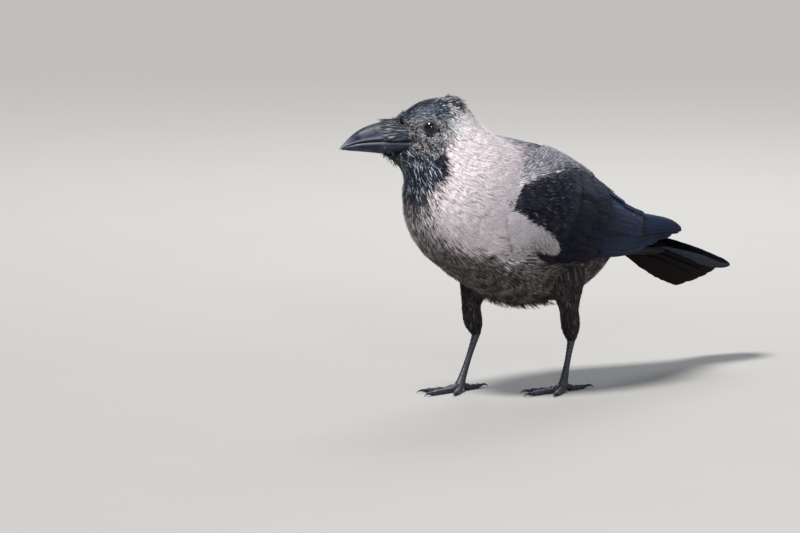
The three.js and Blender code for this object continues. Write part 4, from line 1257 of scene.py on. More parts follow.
# Loose tips hang from the chin, and a short crest stands off the back of the crown and the brow:
# number, first and last slice, middle and spread of their angles, length, and how far they stand off.
LOOSE_TIPS = (("chin", 120, 12.0, 15.9, 270, 50, 7.5, 4.4), ("nape", 150, 11.5, 12.6, 90, 34, 10, 3.0),
              ("brow", 60, 15.0, 15.95, 90, 60, 3.6, 2.4))


def add_hackles(rng, plumage):
    """Long narrow throat feathers with bright shafts, over the bib."""
    pile = Pile()
    n = int(900 * plumage.density)
    t = rng.uniform(9.4, 12.6, n)
    r = 270 + rng.uniform(-78, 78, n)
    high = level(r)
    shown = (t > np.interp(high, *MASK_EDGE.T) + 0.8) & (high < -20 - 14 * np.maximum(t - 11, 0))
    t, r, high = t[shown], r[shown], high[shown]
    n = len(t)
    marking = black_marking(n, rng)
    length = np.interp(t, [8.7, 10, 12.6], [12, 10.5, 6.5]) * plumage.length
    lay_tufts(pile, BODY_SHELL, t, r, rng, length=length, half=1.15, marking=marking, bake=body_bake(t, r),
              blades=3, depth=coat_depth(t) * 0.6, stand=rng.uniform(0.2, 1.4, n), fan=0.5, crown=1.2,
              shares=(0, 0.3, 0.6, 0.85, 1), wild=1.6, mottle=0.3, flecks=(0.2, 1.0), slim=1.0)
    for place, count, low, end, middle, spread, long, up in LOOSE_TIPS:
        t = rng.uniform(low, end, count)
        r = middle + rng.uniform(-spread, spread, count)
        marking = black_marking(count, rng, brown=0.5 if place == "chin" else 0.1)
        if place == "nape":
            marking[:, 0] = rng.uniform(0.55, 1.1, count).clip(0, 1)
        lay_tufts(pile, BODY_SHELL, t, r, rng, length=long * rng.uniform(0.7, 1.1, count), half=0.9,
                  marking=marking, bake=body_bake(t, r), blades=2, depth=0.6,
                  stand=up * rng.uniform(0.35, 1.1, count), crown=1, shares=(0, 0.3, 0.65, 1),
                  wild=2.5, flecks=(0.2, 0.4), slim=0.8)
    put(pile, "coat_throat", "glossy plumage", "black_feathers")


def bill_side(x, z, side, lift):
    """A place on the side of the bill, at distance x and height z."""
    return turned(np.stack([x, side * (bill_half(x, z) + lift), z], -1), HEAD_TURN)


def add_bristles(rng):
    """Stiff bristles that lie forward over the nostrils, and the short ones at the gape and chin."""
    pile = Pile()
    rows = 5
    s = np.linspace(0, 1, rows)[None]
    for side in (-1, 1):
        n = 380
        f = rng.uniform(0, 1, n)[:, None]
        start = mix(-119, -130, rng.uniform(0, 1, n)[:, None])
        root_z = mix(206.2, 193.2, f)
        reach = mix(14, 11.5, f) * rng.uniform(0.5, 1.1, (n, 1))
        x = start - reach * s
        z = root_z + (mix(0.6, -1.6, f) + rng.normal(0, 0.8, (n, 1))) * s
        lift = 0.4 + 1.1 * s * (1 - s) + rng.uniform(0, 0.6, (n, 1)) * s
        centre = bill_side(x, np.minimum(z, 206.3), side, lift)
        add_bristle_locks(pile, centre, side, rng, 0.32, pale=0.3)
        # The gape: short dark feathers that point back and out.
        n = 60
        f = rng.uniform(0, 1, (n, 1))
        x = mix(-121, -112, f) + 0 * s + rng.uniform(3, 5.5, (n, 1)) * s
        z = mix(190.5, 189.5, f) + rng.normal(0, 2.2, (n, 1)) - 1.2 * s
        wide = mix(9.6, 13, ramp(-x, 121, 108))
        centre = turned(np.stack([x, side * (wide + 0.8 * s), z], -1), HEAD_TURN)
        add_bristle_locks(pile, centre, side, rng, 0.36, pale=0.2)
    # The forehead's bristles cover the root of the culmen, and some stand up over it.
    for n, rise, long in ((130, (0.1, 0.7), (7, 12)), (34, (1.0, 3.2), (4, 8))):
        x = mix(-119, -129, rng.uniform(0, 1, (n, 1))) - rng.uniform(*long, (n, 1)) * s
        y = np.clip(rng.normal(0, 3.4, (n, 1)), -7, 7) * (1 - 0.2 * s)
        k = read_rows(BILL, np.interp(-x, -BILL[:, 0], np.arange(len(BILL))))
        over = (1 - np.clip(np.abs(y) / k[..., 4], 0, 1) ** 2) ** 0.43
        z = mix(k[..., 2], k[..., 1], over) + 0.3 + rng.uniform(*rise, (n, 1)) * s**1.3
        add_bristle_locks(pile, turned(np.stack([x, y, z], -1), HEAD_TURN), 0, rng, 0.3, pale=0.12)
    put(pile, "coat_bristles", "glossy plumage", "black_feathers")


def add_bristle_locks(pile, centre, side, rng, half, pale):
    """Adds fine stiff locks along centre lines, with a few paler ones."""
    n, rows = centre.shape[:2]
    out = turned(np.array([NECK_PIVOT_X, side or 0.001, 0.0]), HEAD_TURN) - [NECK_PIVOT_X, 0, 0]
    normal = np.broadcast_to(unit(out + [0, 0, 0.3]) if side else [0, 0, 1.0], centre.shape)
    taper = np.interp(np.linspace(0, 1, rows), [0, 0.3, 0.8, 1], [0.7, 1, 0.55, 0.02])
    marks = np.zeros((n, 1, 4))
    marks[..., 0], marks[..., 1], marks[..., 2] = 1, 0.6, rng.uniform(0, 0.7, (n, 1))
    marks[..., 3] = (rng.uniform(0, 1, (n, 1)) < pale) * rng.uniform(0.2, 0.6, (n, 1))
    root = 0.5 + (centre[:, 0, 1:] - [NECK_PIVOT_X, 195]) / 100
    half = half * taper[None] * rng.uniform(0.7, 1.3, (n, 1))
    add_locks(pile, centre, normal, half, tone=rng.uniform(0, 1, n), offset=rng.uniform(0, 1, (n, 2)),
              marking=marks, root=np.clip(root, 0.01, 0.99))


# Tiers of a folded wing. For the lowest feather of the tier and the highest: root and tip as slice
# and height on the shell, half width and height of the tip over the shell; then how far the root
# is sunk, the bluntness of the tip, the tilt of the vane, how worn its edge is, how brown it is and
# how much painted sheen lightens its highest feathers.
TIERS = [
    ("secondary", 9, (2.5, 3.0), (0.19, 0.69), (4.9, 5.4), (0.175, 0.67), (6.4, 6.7), (-2.2, -0.9),
     2.0, 0.2, 0.1, 0.3, 0.0, 0.1),
    ("tertial", 4, (2.7, 2.3), (0.74, 0.88), (5.5, 4.3), (0.74, 0.85), (8.2, 9.4), (0.2, 2.2),
     4.4, 0.3, 0.05, 0.08, 0.0, 0.14),
    ("greater", 14, (2.0, 2.5), (0.1, 0.82), (3.1, 3.62), (0.07, 0.78), (4.8, 5.5), (0.9, 1.1),
     3.4, 0.3, 0.14, 0.07, 0.3, 0.08),
    ("median", 13, (1.45, 2.0), (0.11, 0.84), (2.4, 2.95), (0.09, 0.8), (5.0, 5.8), (1.0, 1.1),
     3.4, 0.42, 0.12, 0.06, 0.4, 0.08),
    ("lesser", 13, (1.05, 1.6), (0.12, 0.85), (1.8, 2.35), (0.1, 0.82), (5.0, 5.6), (1.0, 1.1),
     3.2, 0.5, 0.1, 0.04, 0.4, 0.1),
    ("primary_covert", 6, (1.2, 1.8), (0.03, 0.13), (2.5, 3.45), (0.015, 0.09), (3.4, 3.8), (-1.6, 0.1),
     2.4, 0.3, 0.06, 0.04, 0.3, 0.0),
    ("alula", 3, (1.0, 1.15), (0.05, 0.1), (1.95, 2.35), (0.02, 0.07), (3.8, 4.2), (0.3, 0.8),
     2.6, 0.35, 0.08, 0.05, 0.3, 0.0),
]


PRIMARIES = 10


def wing_place(shell, t0, q0, t1, q1, lift, rise):
    """Puts vanes on the wing's shell, each rising out of the ones ahead of it as tiles do."""
    def place(i, f, across, up):
        t, q = mix(t0[i], t1[i], f), mix(q0[i], q1[i], f**0.8)
        _, _, _, per_q = shell.read(t, q)
        spot, normal, _, _ = shell.read(t, q + across / per_q)
        height = lift[i] - rise[i] * (1 - f) ** 1.3 + up
        return spot + normal * height[..., None]
    return place


def add_tier(pile, shell, rng, count, root_t, root_q, tip_t, tip_q, half, lift, rise, blunt, lean,
             wear, brown, pale, **more):
    """Adds one tier of a wing's feathers, each a little uneven."""
    f = np.linspace(0, 1, count)
    shake = lambda s: rng.normal(0, s, count)
    span = lambda pair: mix(pair[0], pair[1], f)
    t0, q0 = span(root_t) + shake(0.02), span(root_q) + shake(0.004)
    t1, q1 = span(tip_t) + shake(0.035), span(tip_q) + shake(0.008)
    place = wing_place(shell, t0, q0, t1, q1, span(lift) + shake(0.08), np.full(count, rise))
    lightened = np.clip(wear * rng.uniform(0.4, 2.2, count) * (rng.uniform(0, 1, count) < 0.4), 0, 1)
    # The highest feathers of a tier are lightened with silver: painted sheen of the sky on them.
    lay_vanes(pile, place, count, rng, half=span(half) * rng.uniform(0.95, 1.06, count), lean=-lean,
              blunt=blunt, marking=black_marking(count, rng, pale=pale * f * rng.uniform(0.6, 1.3, count),
                                                 brown=brown * rng.uniform(0.7, 1.2, count)),
              bake=wing_bake(t0, q0), wear=lightened, hue=0.85 - 1.1 * brown if brown else 1.3, **more)


class CROW_OT_wings(bpy.types.Operator):
    """Adds the flight feathers and coverts of both folded wings, tier by tier"""

    bl_idname = "crow.wings"
    bl_label = "Wings"

    def execute(self, context):
        plumage = settings()[0]
        for side, name in ((-1, "left"), (1, "right")):
            rng = np.random.default_rng(SEEDS["wings"])
            shell, pile = WING_SHELLS[side], Pile()
            f = np.linspace(0, 1, PRIMARIES)
            tips = read_rows(PRIMARY_TIPS, f * (len(PRIMARY_TIPS) - 1))
            t0, q0 = mix(2.8, 3.1, f), mix(0.06, 0.5, f)
            place = wing_place(shell, t0, q0, tips[:, 0], tips[:, 1], mix(-4.2, -2.6, f), 0 * f)
            lay_vanes(pile, place, PRIMARIES, rng, half=mix(4.6, 6.6, f), rows=24, arch=0.1, blunt=0.1,
                      marking=black_marking(PRIMARIES, rng), bake=wing_bake(t0, q0), ragged=0.1,
                      narrow=mix(0.7, 0.85, f), wear=np.where(f < 0.12, 1.2, 0.5), hue=1.0)
            for tier, *numbers in TIERS:
                rows = 20 if tier in ("secondary", "tertial") else 12
                add_tier(pile, shell, rng, *numbers, rows=rows, columns=9)
            add_scapulars(pile, shell, rng)
            put(pile, f"{name}_wing_feathers", "flight feathers", "black_feathers", f"{name}_wing")
            add_wing_front(name, side, plumage)
        return {"FINISHED"}


def add_scapulars(pile, shell, rng):
    """Broad soft feathers along the upper edge of the wing, some of them paler with painted sheen."""
    for k, (t_low, t_high, q) in enumerate([(0.9, 2.3, 0.93), (0.7, 2.1, 0.97), (0.5, 1.9, 1.02)]):
        count = 6
        f = np.linspace(0, 1, count)
        t0 = mix(t_low, t_high, f) + rng.normal(0, 0.03, count)
        t1 = t0 + mix(0.9, 1.7, f) + rng.normal(0, 0.06, count)
        place = wing_place(shell, t0, np.full(count, q), t1, q - 0.05 + rng.normal(0, 0.012, count),
                           mix(1.9, 2.6, f) - 0.3 * k, np.full(count, 6.0))
        marking = black_marking(count, rng, pale=rng.uniform(0.02, 0.09, count))
        lay_vanes(pile, place, count, rng, half=8.2, blunt=0.5, lean=-0.05, marking=marking, hue=0.5,
                  bake=wing_bake(t0, np.full(count, q)), wear=rng.uniform(0, 0.1, count), rows=14, columns=9)


# How far the flank feathers reach up over the wing's lower edge: slice, and height on the wing.
FRINGE_EDGE = np.array([[0.2, -0.05], [0.4, 0.0], [0.75, 0.135], [1.2, 0.165], [1.62, 0.12], [1.9, 0.07],
                        [2.05, -0.02], [2.6, -0.1]])
# Where the grey plumage ends on the front of the wing: height on the wing, and slice.
COLLAR_ON_WING = np.array([[-0.2, 0.0], [0.0, 0.1], [0.25, 0.12], [0.5, 0.3], [0.64, 0.46], [0.76, 0.7],
                           [0.81, 1.15], [0.86, 1.8], [1.1, 2.3]])


def add_wing_front(name, side, plumage):
    """Small soft feathers on the front of the wing, and the grey fringes that lie over it."""
    rng = np.random.default_rng(SEEDS["wing front"])
    shell, pile = WING_SHELLS[side], Pile()
    add_shoulder(pile, shell, rng)
    put(pile, f"{name}_wing_shoulder", "shoulder plumage", "black_feathers")
    pile = Pile()
    add_collar(pile, shell, rng)
    add_mantle(pile, shell, rng)
    add_fringe(pile, shell, rng, plumage)
    put(pile, f"{name}_wing_front", "soft plumage", "grey_feathers")


def add_shoulder(pile, shell, rng):
    """Small black feathers on the front of the wing."""
    t, q = shell.lattice(-0.15, 3.1, lambda t: apart(2.6), rng, (0.0, 1.06))
    edge, below = np.interp(q, *COLLAR_ON_WING.T), np.interp(t, *FRINGE_EDGE.T)
    k = (t > edge - 0.24) & (t < 1.5 + 0.5 * q + 1.2 * ramp(q, 0.8, 1.0)) & (q > below - 0.07)
    t, q, edge = t[k], q[k], edge[k]
    n = len(t)
    upper = ramp(q, 0.66, 0.82)
    marking = black_marking(n, rng, brown=0.7 * upper * rng.uniform(0, 1, n))
    marking[:, 3] = mix(0.05, 0.12, upper) * rng.uniform(0, 1.6, n)
    lay_tufts(pile, shell, t, q, rng, length=8.5, half=2.8, marking=marking, bake=wing_bake(t, q),
              ahead=1, blades=8, depth=1.8, crown=0.8, slim=1.2, mottle=0.35,
              stand=rng.normal(1.1, 0.15, n) - 0.8 * (1 - ramp(t - edge, -0.2, 0.15)),
              wear=0.5 * upper * rng.uniform(0, 1, n), flecks=(0.07 + 0.2 * upper, 0.3))


def add_collar(pile, shell, rng):
    """Grey collar feathers that run on over the shoulder, and break up into scallops on the mantle."""
    t, q = shell.lattice(-0.4, 2.2, lambda t: apart(2.1), rng, (-0.05, 1.08))
    edge = np.interp(q, *COLLAR_ON_WING.T)
    k = (t > -0.3) & (t + 8.5 / 30 < edge + rng.normal(0, 0.02, len(t)))
    t, q = t[k], q[k]
    n = len(t)
    # On the mantle they turn partly black, for their own dark bases, with a bluish tint of painted sky-lit
    # shade.
    mantle = ramp(q, 0.66, 0.86) * mix(0.5, 0.85, ramp(t + 0.2 * rng.normal(0, 1, n), 0.0, 1.0))
    black = np.clip(mantle + 0.12 * rng.normal(0, 1, n) * (mantle > 0.02), 0, 1)
    marking = np.stack([black, 0 * mantle, uneven(rng, n, 0.1), 0.24 * mantle], -1)
    up = ramp(q, 0.8, 1.0)
    lay_tufts(pile, shell, t, q, rng, length=mix(7.5, 10, up), half=2.6, marking=marking,
              bake=wing_bake(t, q), ahead=1, blades=9, depth=mix(3.0, 4.0, up), crown=0.6,
              stand=rng.normal(1.3, 0.15, n) - 0.6 * up * (1 - ramp(t, 0.9, 1.6)), heading=0.1,
              slim=1.15, wild=0.7, wear=0.6 * mantle, streak=0.5, tilt=0.2, flecks=(0.3 * mantle, 0.3))


def add_mantle(pile, shell, rng):
    """Dark mantle feathers with pale fringes and painted sheen, over the roots of the scapulars."""
    t, q = shell.lattice(0.2, 2.9, lambda t: apart(3.2), rng, (0.8, 1.1))
    n = len(t)
    inner = ramp(q, 0.98, 1.08)
    brown = 0.15 * (1 - ramp(t, 1.8, 2.8))
    dark = mix(0.55, 0.95, ramp(t + 0.3 * rng.normal(0, 1, n), 0.2, 1.8))
    dark = mix(dark, 1, 0.8 * inner)
    # Painted sheen: a bluish silver tint for the sky's reflection, faded towards the rear and the inner
    # edge.
    sky_sheen = 0.24 * (1 - 0.7 * ramp(t, 1.4, 2.4)) * (1 - 0.7 * inner) * rng.uniform(0.5, 1.2, n)
    marking = np.stack([dark, brown, rng.uniform(0.3, 0.7, n), sky_sheen], -1)
    lay_tufts(pile, shell, t, q, rng, length=11, half=4.2, marking=marking, bake=wing_bake(t, q),
              ahead=1, blades=10, depth=2.0, crown=0.5, slim=1.2, mottle=0.35, streak=0.6, tilt=0.25,
              stand=rng.normal(2.9, 0.25, n) - 1.7 * (1 - ramp(t, 0.4, 1.6)), flecks=(0.25, 0.5),
              wear=rng.uniform(0, 0.9, n) * (1 - 0.7 * ramp(t, 1.9, 2.8)))


def add_fringe(pile, shell, rng, plumage):
    """Flank feathers that come up over the wing's lower edge, row behind row."""
    t0, q0 = shell.lattice(0.45, 1.5, lambda t: apart(2.1), rng, (-0.16, 0.3))
    k = (q0 < np.interp(t0, *FRINGE_EDGE.T) - 0.1) & (q0 > mix(-0.16, 0.02, ramp(t0, 1.0, 1.4)))
    k &= t0 > 0.45 + rng.uniform(0, 0.3, len(t0))
    n = int(760 * plumage.density)
    row = np.concatenate([rng.uniform(0, 0.7, n), np.full(int(k.sum()), 0.8)])
    t1 = 1.86 - 1.46 * rng.uniform(0, 1, n) ** 1.15
    end = np.interp(t1, [0.42, 1.1, 1.4, 1.9], [-0.19, 0.0, 0.02, 0.07])
    q1 = mix(np.interp(t1, *FRINGE_EDGE.T), end, row[:n] ** 1.2 / 0.65) + rng.normal(0, 0.008, n)
    t, q = np.concatenate([t1, t0[k]]), np.concatenate([q1, q0[k]])
    n = len(t)
    _, _, per_t, per_q = shell.read(t, q)
    length = rng.uniform(8, 11.5, n)
    below = np.clip((np.interp(t, *FRINGE_EDGE.T) - q) / 0.15, 0, 1)
    brown = 0.95 * ramp(t, 0.7, 1.9) * (0.3 + 0.7 * below) * rng.uniform(0.6, 1.3, n)
    marking = np.stack([0 * t, brown, np.clip(0.52 + rng.normal(0, 0.1, n), 0, 1), 0 * t], -1)
    # They point up ahead, and back and down at the rear, where they end over a dark gap of painted shade.
    lean = mix(0.9, -0.45, ramp(t, 0.8, 1.7)) + rng.normal(0, 0.12, n)
    t, q = t - length * np.cos(lean) / per_t, q - length * np.sin(lean) / per_q
    lay_tufts(pile, shell, t, q, rng, length=length, half=2.4, marking=marking, bake=wing_bake(t, q),
              ahead=1, blades=8, depth=4.5 + 3 * (1 - ramp(t, 0, 0.6)), heading=lean, crown=0.8,
              stand=2.4 - 1.2 * row + rng.normal(0, 0.2, n), slim=0.95, flecks=(0.3, 0.5), mottle=0.2,
              wild=1.3)


# The back's rows: the slices that they start at, how many degrees they spread to each side, and how
# long their feathers are and a slice of the body is.
BACK_ROWS = np.linspace(4.3, 0.55, 10)
BACK_SPREAD = 36.0
BACK_FEATHER, BACK_SLICE = 17.0, 26


class CROW_OT_back(bpy.types.Operator):
    """Adds the rows of rounded dark feathers down the middle of the back and over the rump"""

    bl_idname = "crow.back"
    bl_label = "Back feathers"

    def execute(self, context):
        rng = np.random.default_rng(SEEDS["back"])
        pile = Pile()
        for row, start in enumerate(BACK_ROWS):
            n = 7 - row % 2
            f = np.linspace(-1, 1, n) * (1 - row % 2 / 7)
            t0 = start + rng.normal(0, 0.05, n) - 0.12 * f**2
            r0 = 90 + BACK_SPREAD * f + rng.normal(0, 1.2, n)
            lift = 2.1 - 1.0 * f**2 + rng.normal(0, 0.1, n)

            def place(i, g, across, up, t0=t0, r0=r0, lift=lift):
                t = t0[i] - BACK_FEATHER / BACK_SLICE * g
                r = np.broadcast_to(r0[i], np.broadcast(t, across).shape)
                per_r = BODY_SHELL.read(t + 0 * r, r)[3]
                spot, normal, _, _ = BODY_SHELL.read(t + 0 * r, r + across / per_r)
                return spot + normal * (lift[i] - 2.6 * (1 - g) ** 1.3 + up)[..., None]

            marking = black_marking(n, rng, pale=0.05, brown=0.2)
            lay_vanes(pile, place, n, rng, half=6.6, blunt=0.5, marking=marking, bake=body_bake(t0, r0),
                      hue=0.6, wear=rng.uniform(0, 0.12, n), rows=10, columns=9)
        put(pile, "back_feathers", "flight feathers", "black_feathers")
        return {"FINISHED"}


# Rows of coverts at the tail's root: where their roots and tips lie along the tail, and their number.
TAIL_COVERTS = ((22, 58, 7), (8, 46, 7), (-2, 34, 6))


class CROW_OT_tail(bpy.types.Operator):
    """Adds the twelve tail feathers and the coverts over and under their roots"""

    bl_idname = "crow.tail"
    bl_label = "Tail"

    def execute(self, context):
        rng = np.random.default_rng(SEEDS["tail"])
        pile = Pile()
        k = np.arange(12)
        out = k - 5.5
        rank = np.abs(out) / 5.5
        order = 2 * np.floor(np.abs(out)) + (out > 0)
        length = TAIL_LENGTH - TAIL_GRADUATION * rank**3

        def rectrix(i, f, across, up):
            along = mix(24, length[i], f)
            spread = ramp(along, 0, TAIL_OPEN)
            apart = out[i] * mix(TAIL_ROOT_SPREAD, TAIL_SPREAD, spread)
            left = apart + (TAIL_MIDDLE - TAIL_SKEW * out[i] ** 2) * spread + across
            sunk = -2 * (1 - ramp(f, 0, 0.2))
            return tail_point(along, left, 4.5 - order[i] * TAIL_PITCH + sunk + up)

        marking = black_marking(12, rng, brown=0.0)
        marking[:, 2] -= 0.25
        bake = np.stack([0.06 + 0.88 * k / 11, np.full(12, 0.5)], -1)
        # The outer feathers of the right side are thin, and painted a brownish black for the light that
        # shines through them.
        marking[:, 1] = np.where(out < -3, 0.9, 0)
        marking[:, 0] = np.where(out < -3, 0.5, 1)
        # Painted sheen: the left feathers, which face the sky, take a bluish sheen and a little silver.
        marking[:, 3] = np.where(out > 5, 0.03, np.where(out > 1, 0.02, 0))
        lay_vanes(pile, rectrix, 12, rng, half=TAIL_HALF - rank, marking=marking, bake=bake, rows=26,
                  columns=11, widest=0.75, blunt=0.11, arch=0.2, wear=0.02, ragged=0.12,
                  patch=(0.06, 0.9), hue=np.where(out > 1, 1.1, 0.0))

        for above in (1, -1):
            for row, (start, end, count) in enumerate(TAIL_COVERTS):
                f = np.linspace(-1, 1, count)

                def covert(i, g, across, up, f=f, start=start, end=end, row=row):
                    along = mix(start, end - 5 * f[i] ** 2, g)
                    u = np.clip((along + 14) / (TAIL_CORE + 14), 0, 1)
                    lean_out = f[i] * mix(9, 10.5, g) + across
                    height = mix(15, 4.2, u**0.9) - 2.6 + 3.2 * g + 0.5 * row - 1.6 * f[i] ** 2
                    return tail_point(along, lean_out, above * (height + up) - 3.5 * u)

                lay_vanes(pile, covert, count, rng, half=6.2, blunt=0.5,
                          marking=black_marking(count, rng, brown=0.3), hue=0.3 if above > 0 else 0.0,
                          bake=np.stack([0.1 + 0.8 * (f + 1) / 2, np.full(count, 0.02 + 0.012 * row)], -1),
                          wear=0.02, rows=12, columns=7)
        put(pile, "tail_feathers", "flight feathers", "black_feathers", "tail")
        return {"FINISHED"}


class CROW_OT_thighs(bpy.types.Operator):
    """Adds the dark feathered trousers"""

    bl_idname = "crow.thighs"
    bl_label = "Trousers"

    def execute(self, context):
        pile = Pile()
        for leg in LEGS.values():
            rng = np.random.default_rng(SEEDS["thighs"])

            def place(t, r, lift, leg=leg):
                path, u = shin_path(leg)
                across, up = shin_radii(u)
                rings, _ = tube_rings(path, across + lift, up + lift, 60)
                i = np.clip(t * 30, 0, 29.999)
                i0 = i.astype(int)
                j = np.mod(np.round(r / 6).astype(int), 60)
                return mix(rings[i0, j], rings[i0 + 1, j], (i - i0)[..., None])

            shell = Shell(place, np.linspace(0, 1, 31), np.arange(-12, 373, 6.0), 360)
            t, r = shell.lattice(0.02, 0.985, lambda t: apart(2.1), rng)
            out = outside(BODY_SHELL.grid[UNDER_NECK], shell.read(t, r)[0])[0] > -2
            t, r = t[out], r[out]
            n = len(t)
            black = 0.35 + 0.45 * ramp(t, 0.4, 0.9)
            marking = np.stack([np.clip(black + rng.normal(0, 0.08, n), 0, 1), np.full(n, 0.9),
                                uneven(rng, n, 0.15), np.zeros(n)], -1)
            bake = np.stack([0.02 + 0.96 * r / 360, 0.02 + 0.46 * t + 0.5 * (leg["side"] > 0)], -1)
            lay_tufts(pile, shell, t, r, rng, length=np.interp(t, [0.2, 0.8, 1], [9.5, 7, 4.5]), half=2.3,
                      marking=marking, bake=np.mod(bake, 1), ahead=1, blades=5, depth=1.9 * (1 - t) + 1.0,
                      stand=rng.normal(-0.1, 0.2, n), shares=(0, 0.4, 0.75, 1))
        put(pile, "coat_thighs", "soft plumage", "body_feathers")
        return {"FINISHED"}


def ease_ends(u):
    """Places from 0 to 1 that lie closer together near both ends."""
    return u - 0.13 * np.sin(2 * np.pi * u)


class CROW_OT_bill(bpy.types.Operator):
    """Adds the two mandibles, with a ridged culmen and a fine cutting edge"""

    bl_idname = "crow.bill"
    bl_label = "Bill"

    def execute(self, context):
        for upper, name in ((True, "upper_mandible"), (False, "lower_mandible")):
            last = len(BILL) - 1 if upper else LOWER_BILL_TIP
            s = read_rows(BILL, np.linspace(0, 1, 46) * last)
            x, culmen, gape, low, half = s.T
            split = gape + (BILL_GAP if upper else -BILL_GAP) / 2
            half = half if upper else half * 0.9
            reach = np.maximum((culmen - split) if upper else (split - low), 0.3)
            a = (np.pi * ease_ends(np.linspace(0, 1, 45)))[None]
            lift = np.sin(a) ** 0.85
            # A low ridge runs along the culmen, and the sides are drawn in a little under it.
            ridge = 1 + 0.028 * np.exp(-(((a - np.pi / 2) / 0.2) ** 2)) * (1 if upper else 0)
            pinch = 1 - 0.05 * np.sin(2 * a) ** 2
            # The cutting edges turn in along the gape, under a lip that stands slightly proud.
            proud, turned_in = ((np.sin(a) - 0.12) / 0.07) ** 2, (np.sin(a) / 0.06) ** 2
            lip = 1 + 0.04 * np.exp(-proud) - 0.1 * np.exp(-turned_in)
            y = -half[:, None] * np.cos(a) * pinch * lip
            z = split[:, None] + (1 if upper else -1) * lift * ridge / ridge.max() * reach[:, None]
            under = np.linspace(1, -1, 9)[None, 1:-1] * half[:, None] * 0.98
            floor = np.broadcast_to(split[:, None], under.shape)
            ring = np.concatenate([np.stack([x[:, None] + 0 * y, y, z], -1),
                                   np.stack([x[:, None] + 0 * under, under, floor], -1)], 1)
            tomium = ramp(-x, 112, 124)[:, None]
            lightened = np.exp(-(((np.sin(a) - 0.13) / 0.07) ** 2)) * tomium * 0.7
            # A painted highlight on the upper mandible near its tip.
            lightened = lightened + 0.8 * ramp(-x, 159, 168)[:, None] * ramp(np.sin(a), -0.3, 0.3) * upper
            # Painted shade: the gape line and the floor under each mandible are black.
            gap_shade = np.exp(-((np.sin(a) / 0.05) ** 2)) * tomium
            polish = ramp(-x, 148, 160)[:, None]
            layers = [np.concatenate([over + 0 * a, below + 0 * under], 1)
                      for over, below in ((lightened, 0), (polish, 0), (gap_shade, 1))]
            pile = Pile()
            ring_mesh(pile, turned(ring, HEAD_TURN), vane=np.stack([*layers, 0 * layers[0]], -1))
            made = pile.make(name, finish("bill horn"))
            select_only(made)
            bpy.ops.object.shade_smooth_by_angle(angle=50 * RAD)
            keep(made, "bill", "upper_bill" if upper else "lower_bill")
        return {"FINISHED"}


class CROW_OT_eyes(bpy.types.Operator):
    """Adds the eyes and the bare, beaded rim of their lids"""

    bl_idname = "crow.eyes"
    bl_label = "Eyes"

    def execute(self, context):
        horn = settings()[1]
        for side, name in ((-1, "left"), (1, "right")):
            centre, axis = eye_frame(side)
            turn = Vector((0, 0, 1)).rotation_difference(Vector(axis))
            where = Vector((centre + SHIFT) / 1000)
            bpy.ops.object.select_all(action="DESELECT")
            bpy.ops.mesh.primitive_uv_sphere_add(segments=48, ring_count=32, radius=EYE_RADIUS / 1000)
            eye = bpy.context.object
            eye.name = f"{name}_eyeball"
            eye.data.transform(turn.to_matrix().to_4x4())
            eye.data.transform(Matrix.Translation(where))
            bpy.ops.object.shade_smooth()
            eye.data.materials.append(eye_material(f"{name} eye", horn.iris, centre, axis))
            keep(eye, "eye", f"{name}_eye")
            add_lid(name, centre, axis)
        return {"FINISHED"}


def add_lid(name, centre, axis):
    """Two rings of bare skin hugging the eyeball, notched like a string of small beads."""
    pile = Pile()
    first = unit(np.cross(axis, [0, 0, 1.0]))
    second = np.cross(axis, first)
    a = np.linspace(0, 2 * np.pi, 97)[:-1]
    ring = np.linspace(0, 2 * np.pi, 11)[:-1]
    for radius, thick, beads, sunk, dry in LID_RINGS:
        bead = 1 + 0.16 * np.cos(beads * a)
        flat = 1 - 0.06 * np.abs(np.sin(a))
        out = np.sqrt(EYE_RADIUS**2 - (radius - 0.1) ** 2) - sunk
        way = first * np.cos(a)[:, None] + second * np.sin(a)[:, None]
        core = centre + axis * out + way * (radius * flat)[:, None]
        tube = (thick * bead)[:, None, None] * (
            way[:, None] * np.cos(ring)[None, :, None] + axis * np.sin(ring)[None, :, None])
        points = core[:, None] + tube
        n, m = len(a), len(ring)
        faces = [(i * m + j, i * m + (j + 1) % m, (i + 1) % n * m + (j + 1) % m, (i + 1) % n * m + j)
                 for i in range(n) for j in range(m)]
        points = points.reshape(-1, 3)
        pile.add(points[None], facing_out(points, faces), vane=np.array([[[dry, 0, 0, 0]]]))
    put(pile, f"{name}_lid", "leg scales", "black_feathers")


def toe_line(leg, turn, length, rows):
    """The middle line of a toe, from the hub of the foot to the root of its claw."""
    heading = (180 - leg["side"] * turn) * RAD
    ahead = np.array([math.cos(heading), math.sin(heading), 0])
    u = np.linspace(0, 1, rows)[:, None]
    path = np.array([*leg["foot"], 0.0]) + ahead * u * length
    path[:, 2] = mix(FOOT_HEIGHT / 2, TOE_HEIGHT, ramp(u[:, 0], 0, 0.5))
    return ahead, path, u[:, 0]


def plates(u, count, share=0.82):
    """A saw-toothed rise over overlapping plates, and the dry rim of each."""
    f = np.mod(u * count, 1)
    return f**1.6 * (f < 0.97), ramp(f, share, share + 0.1)


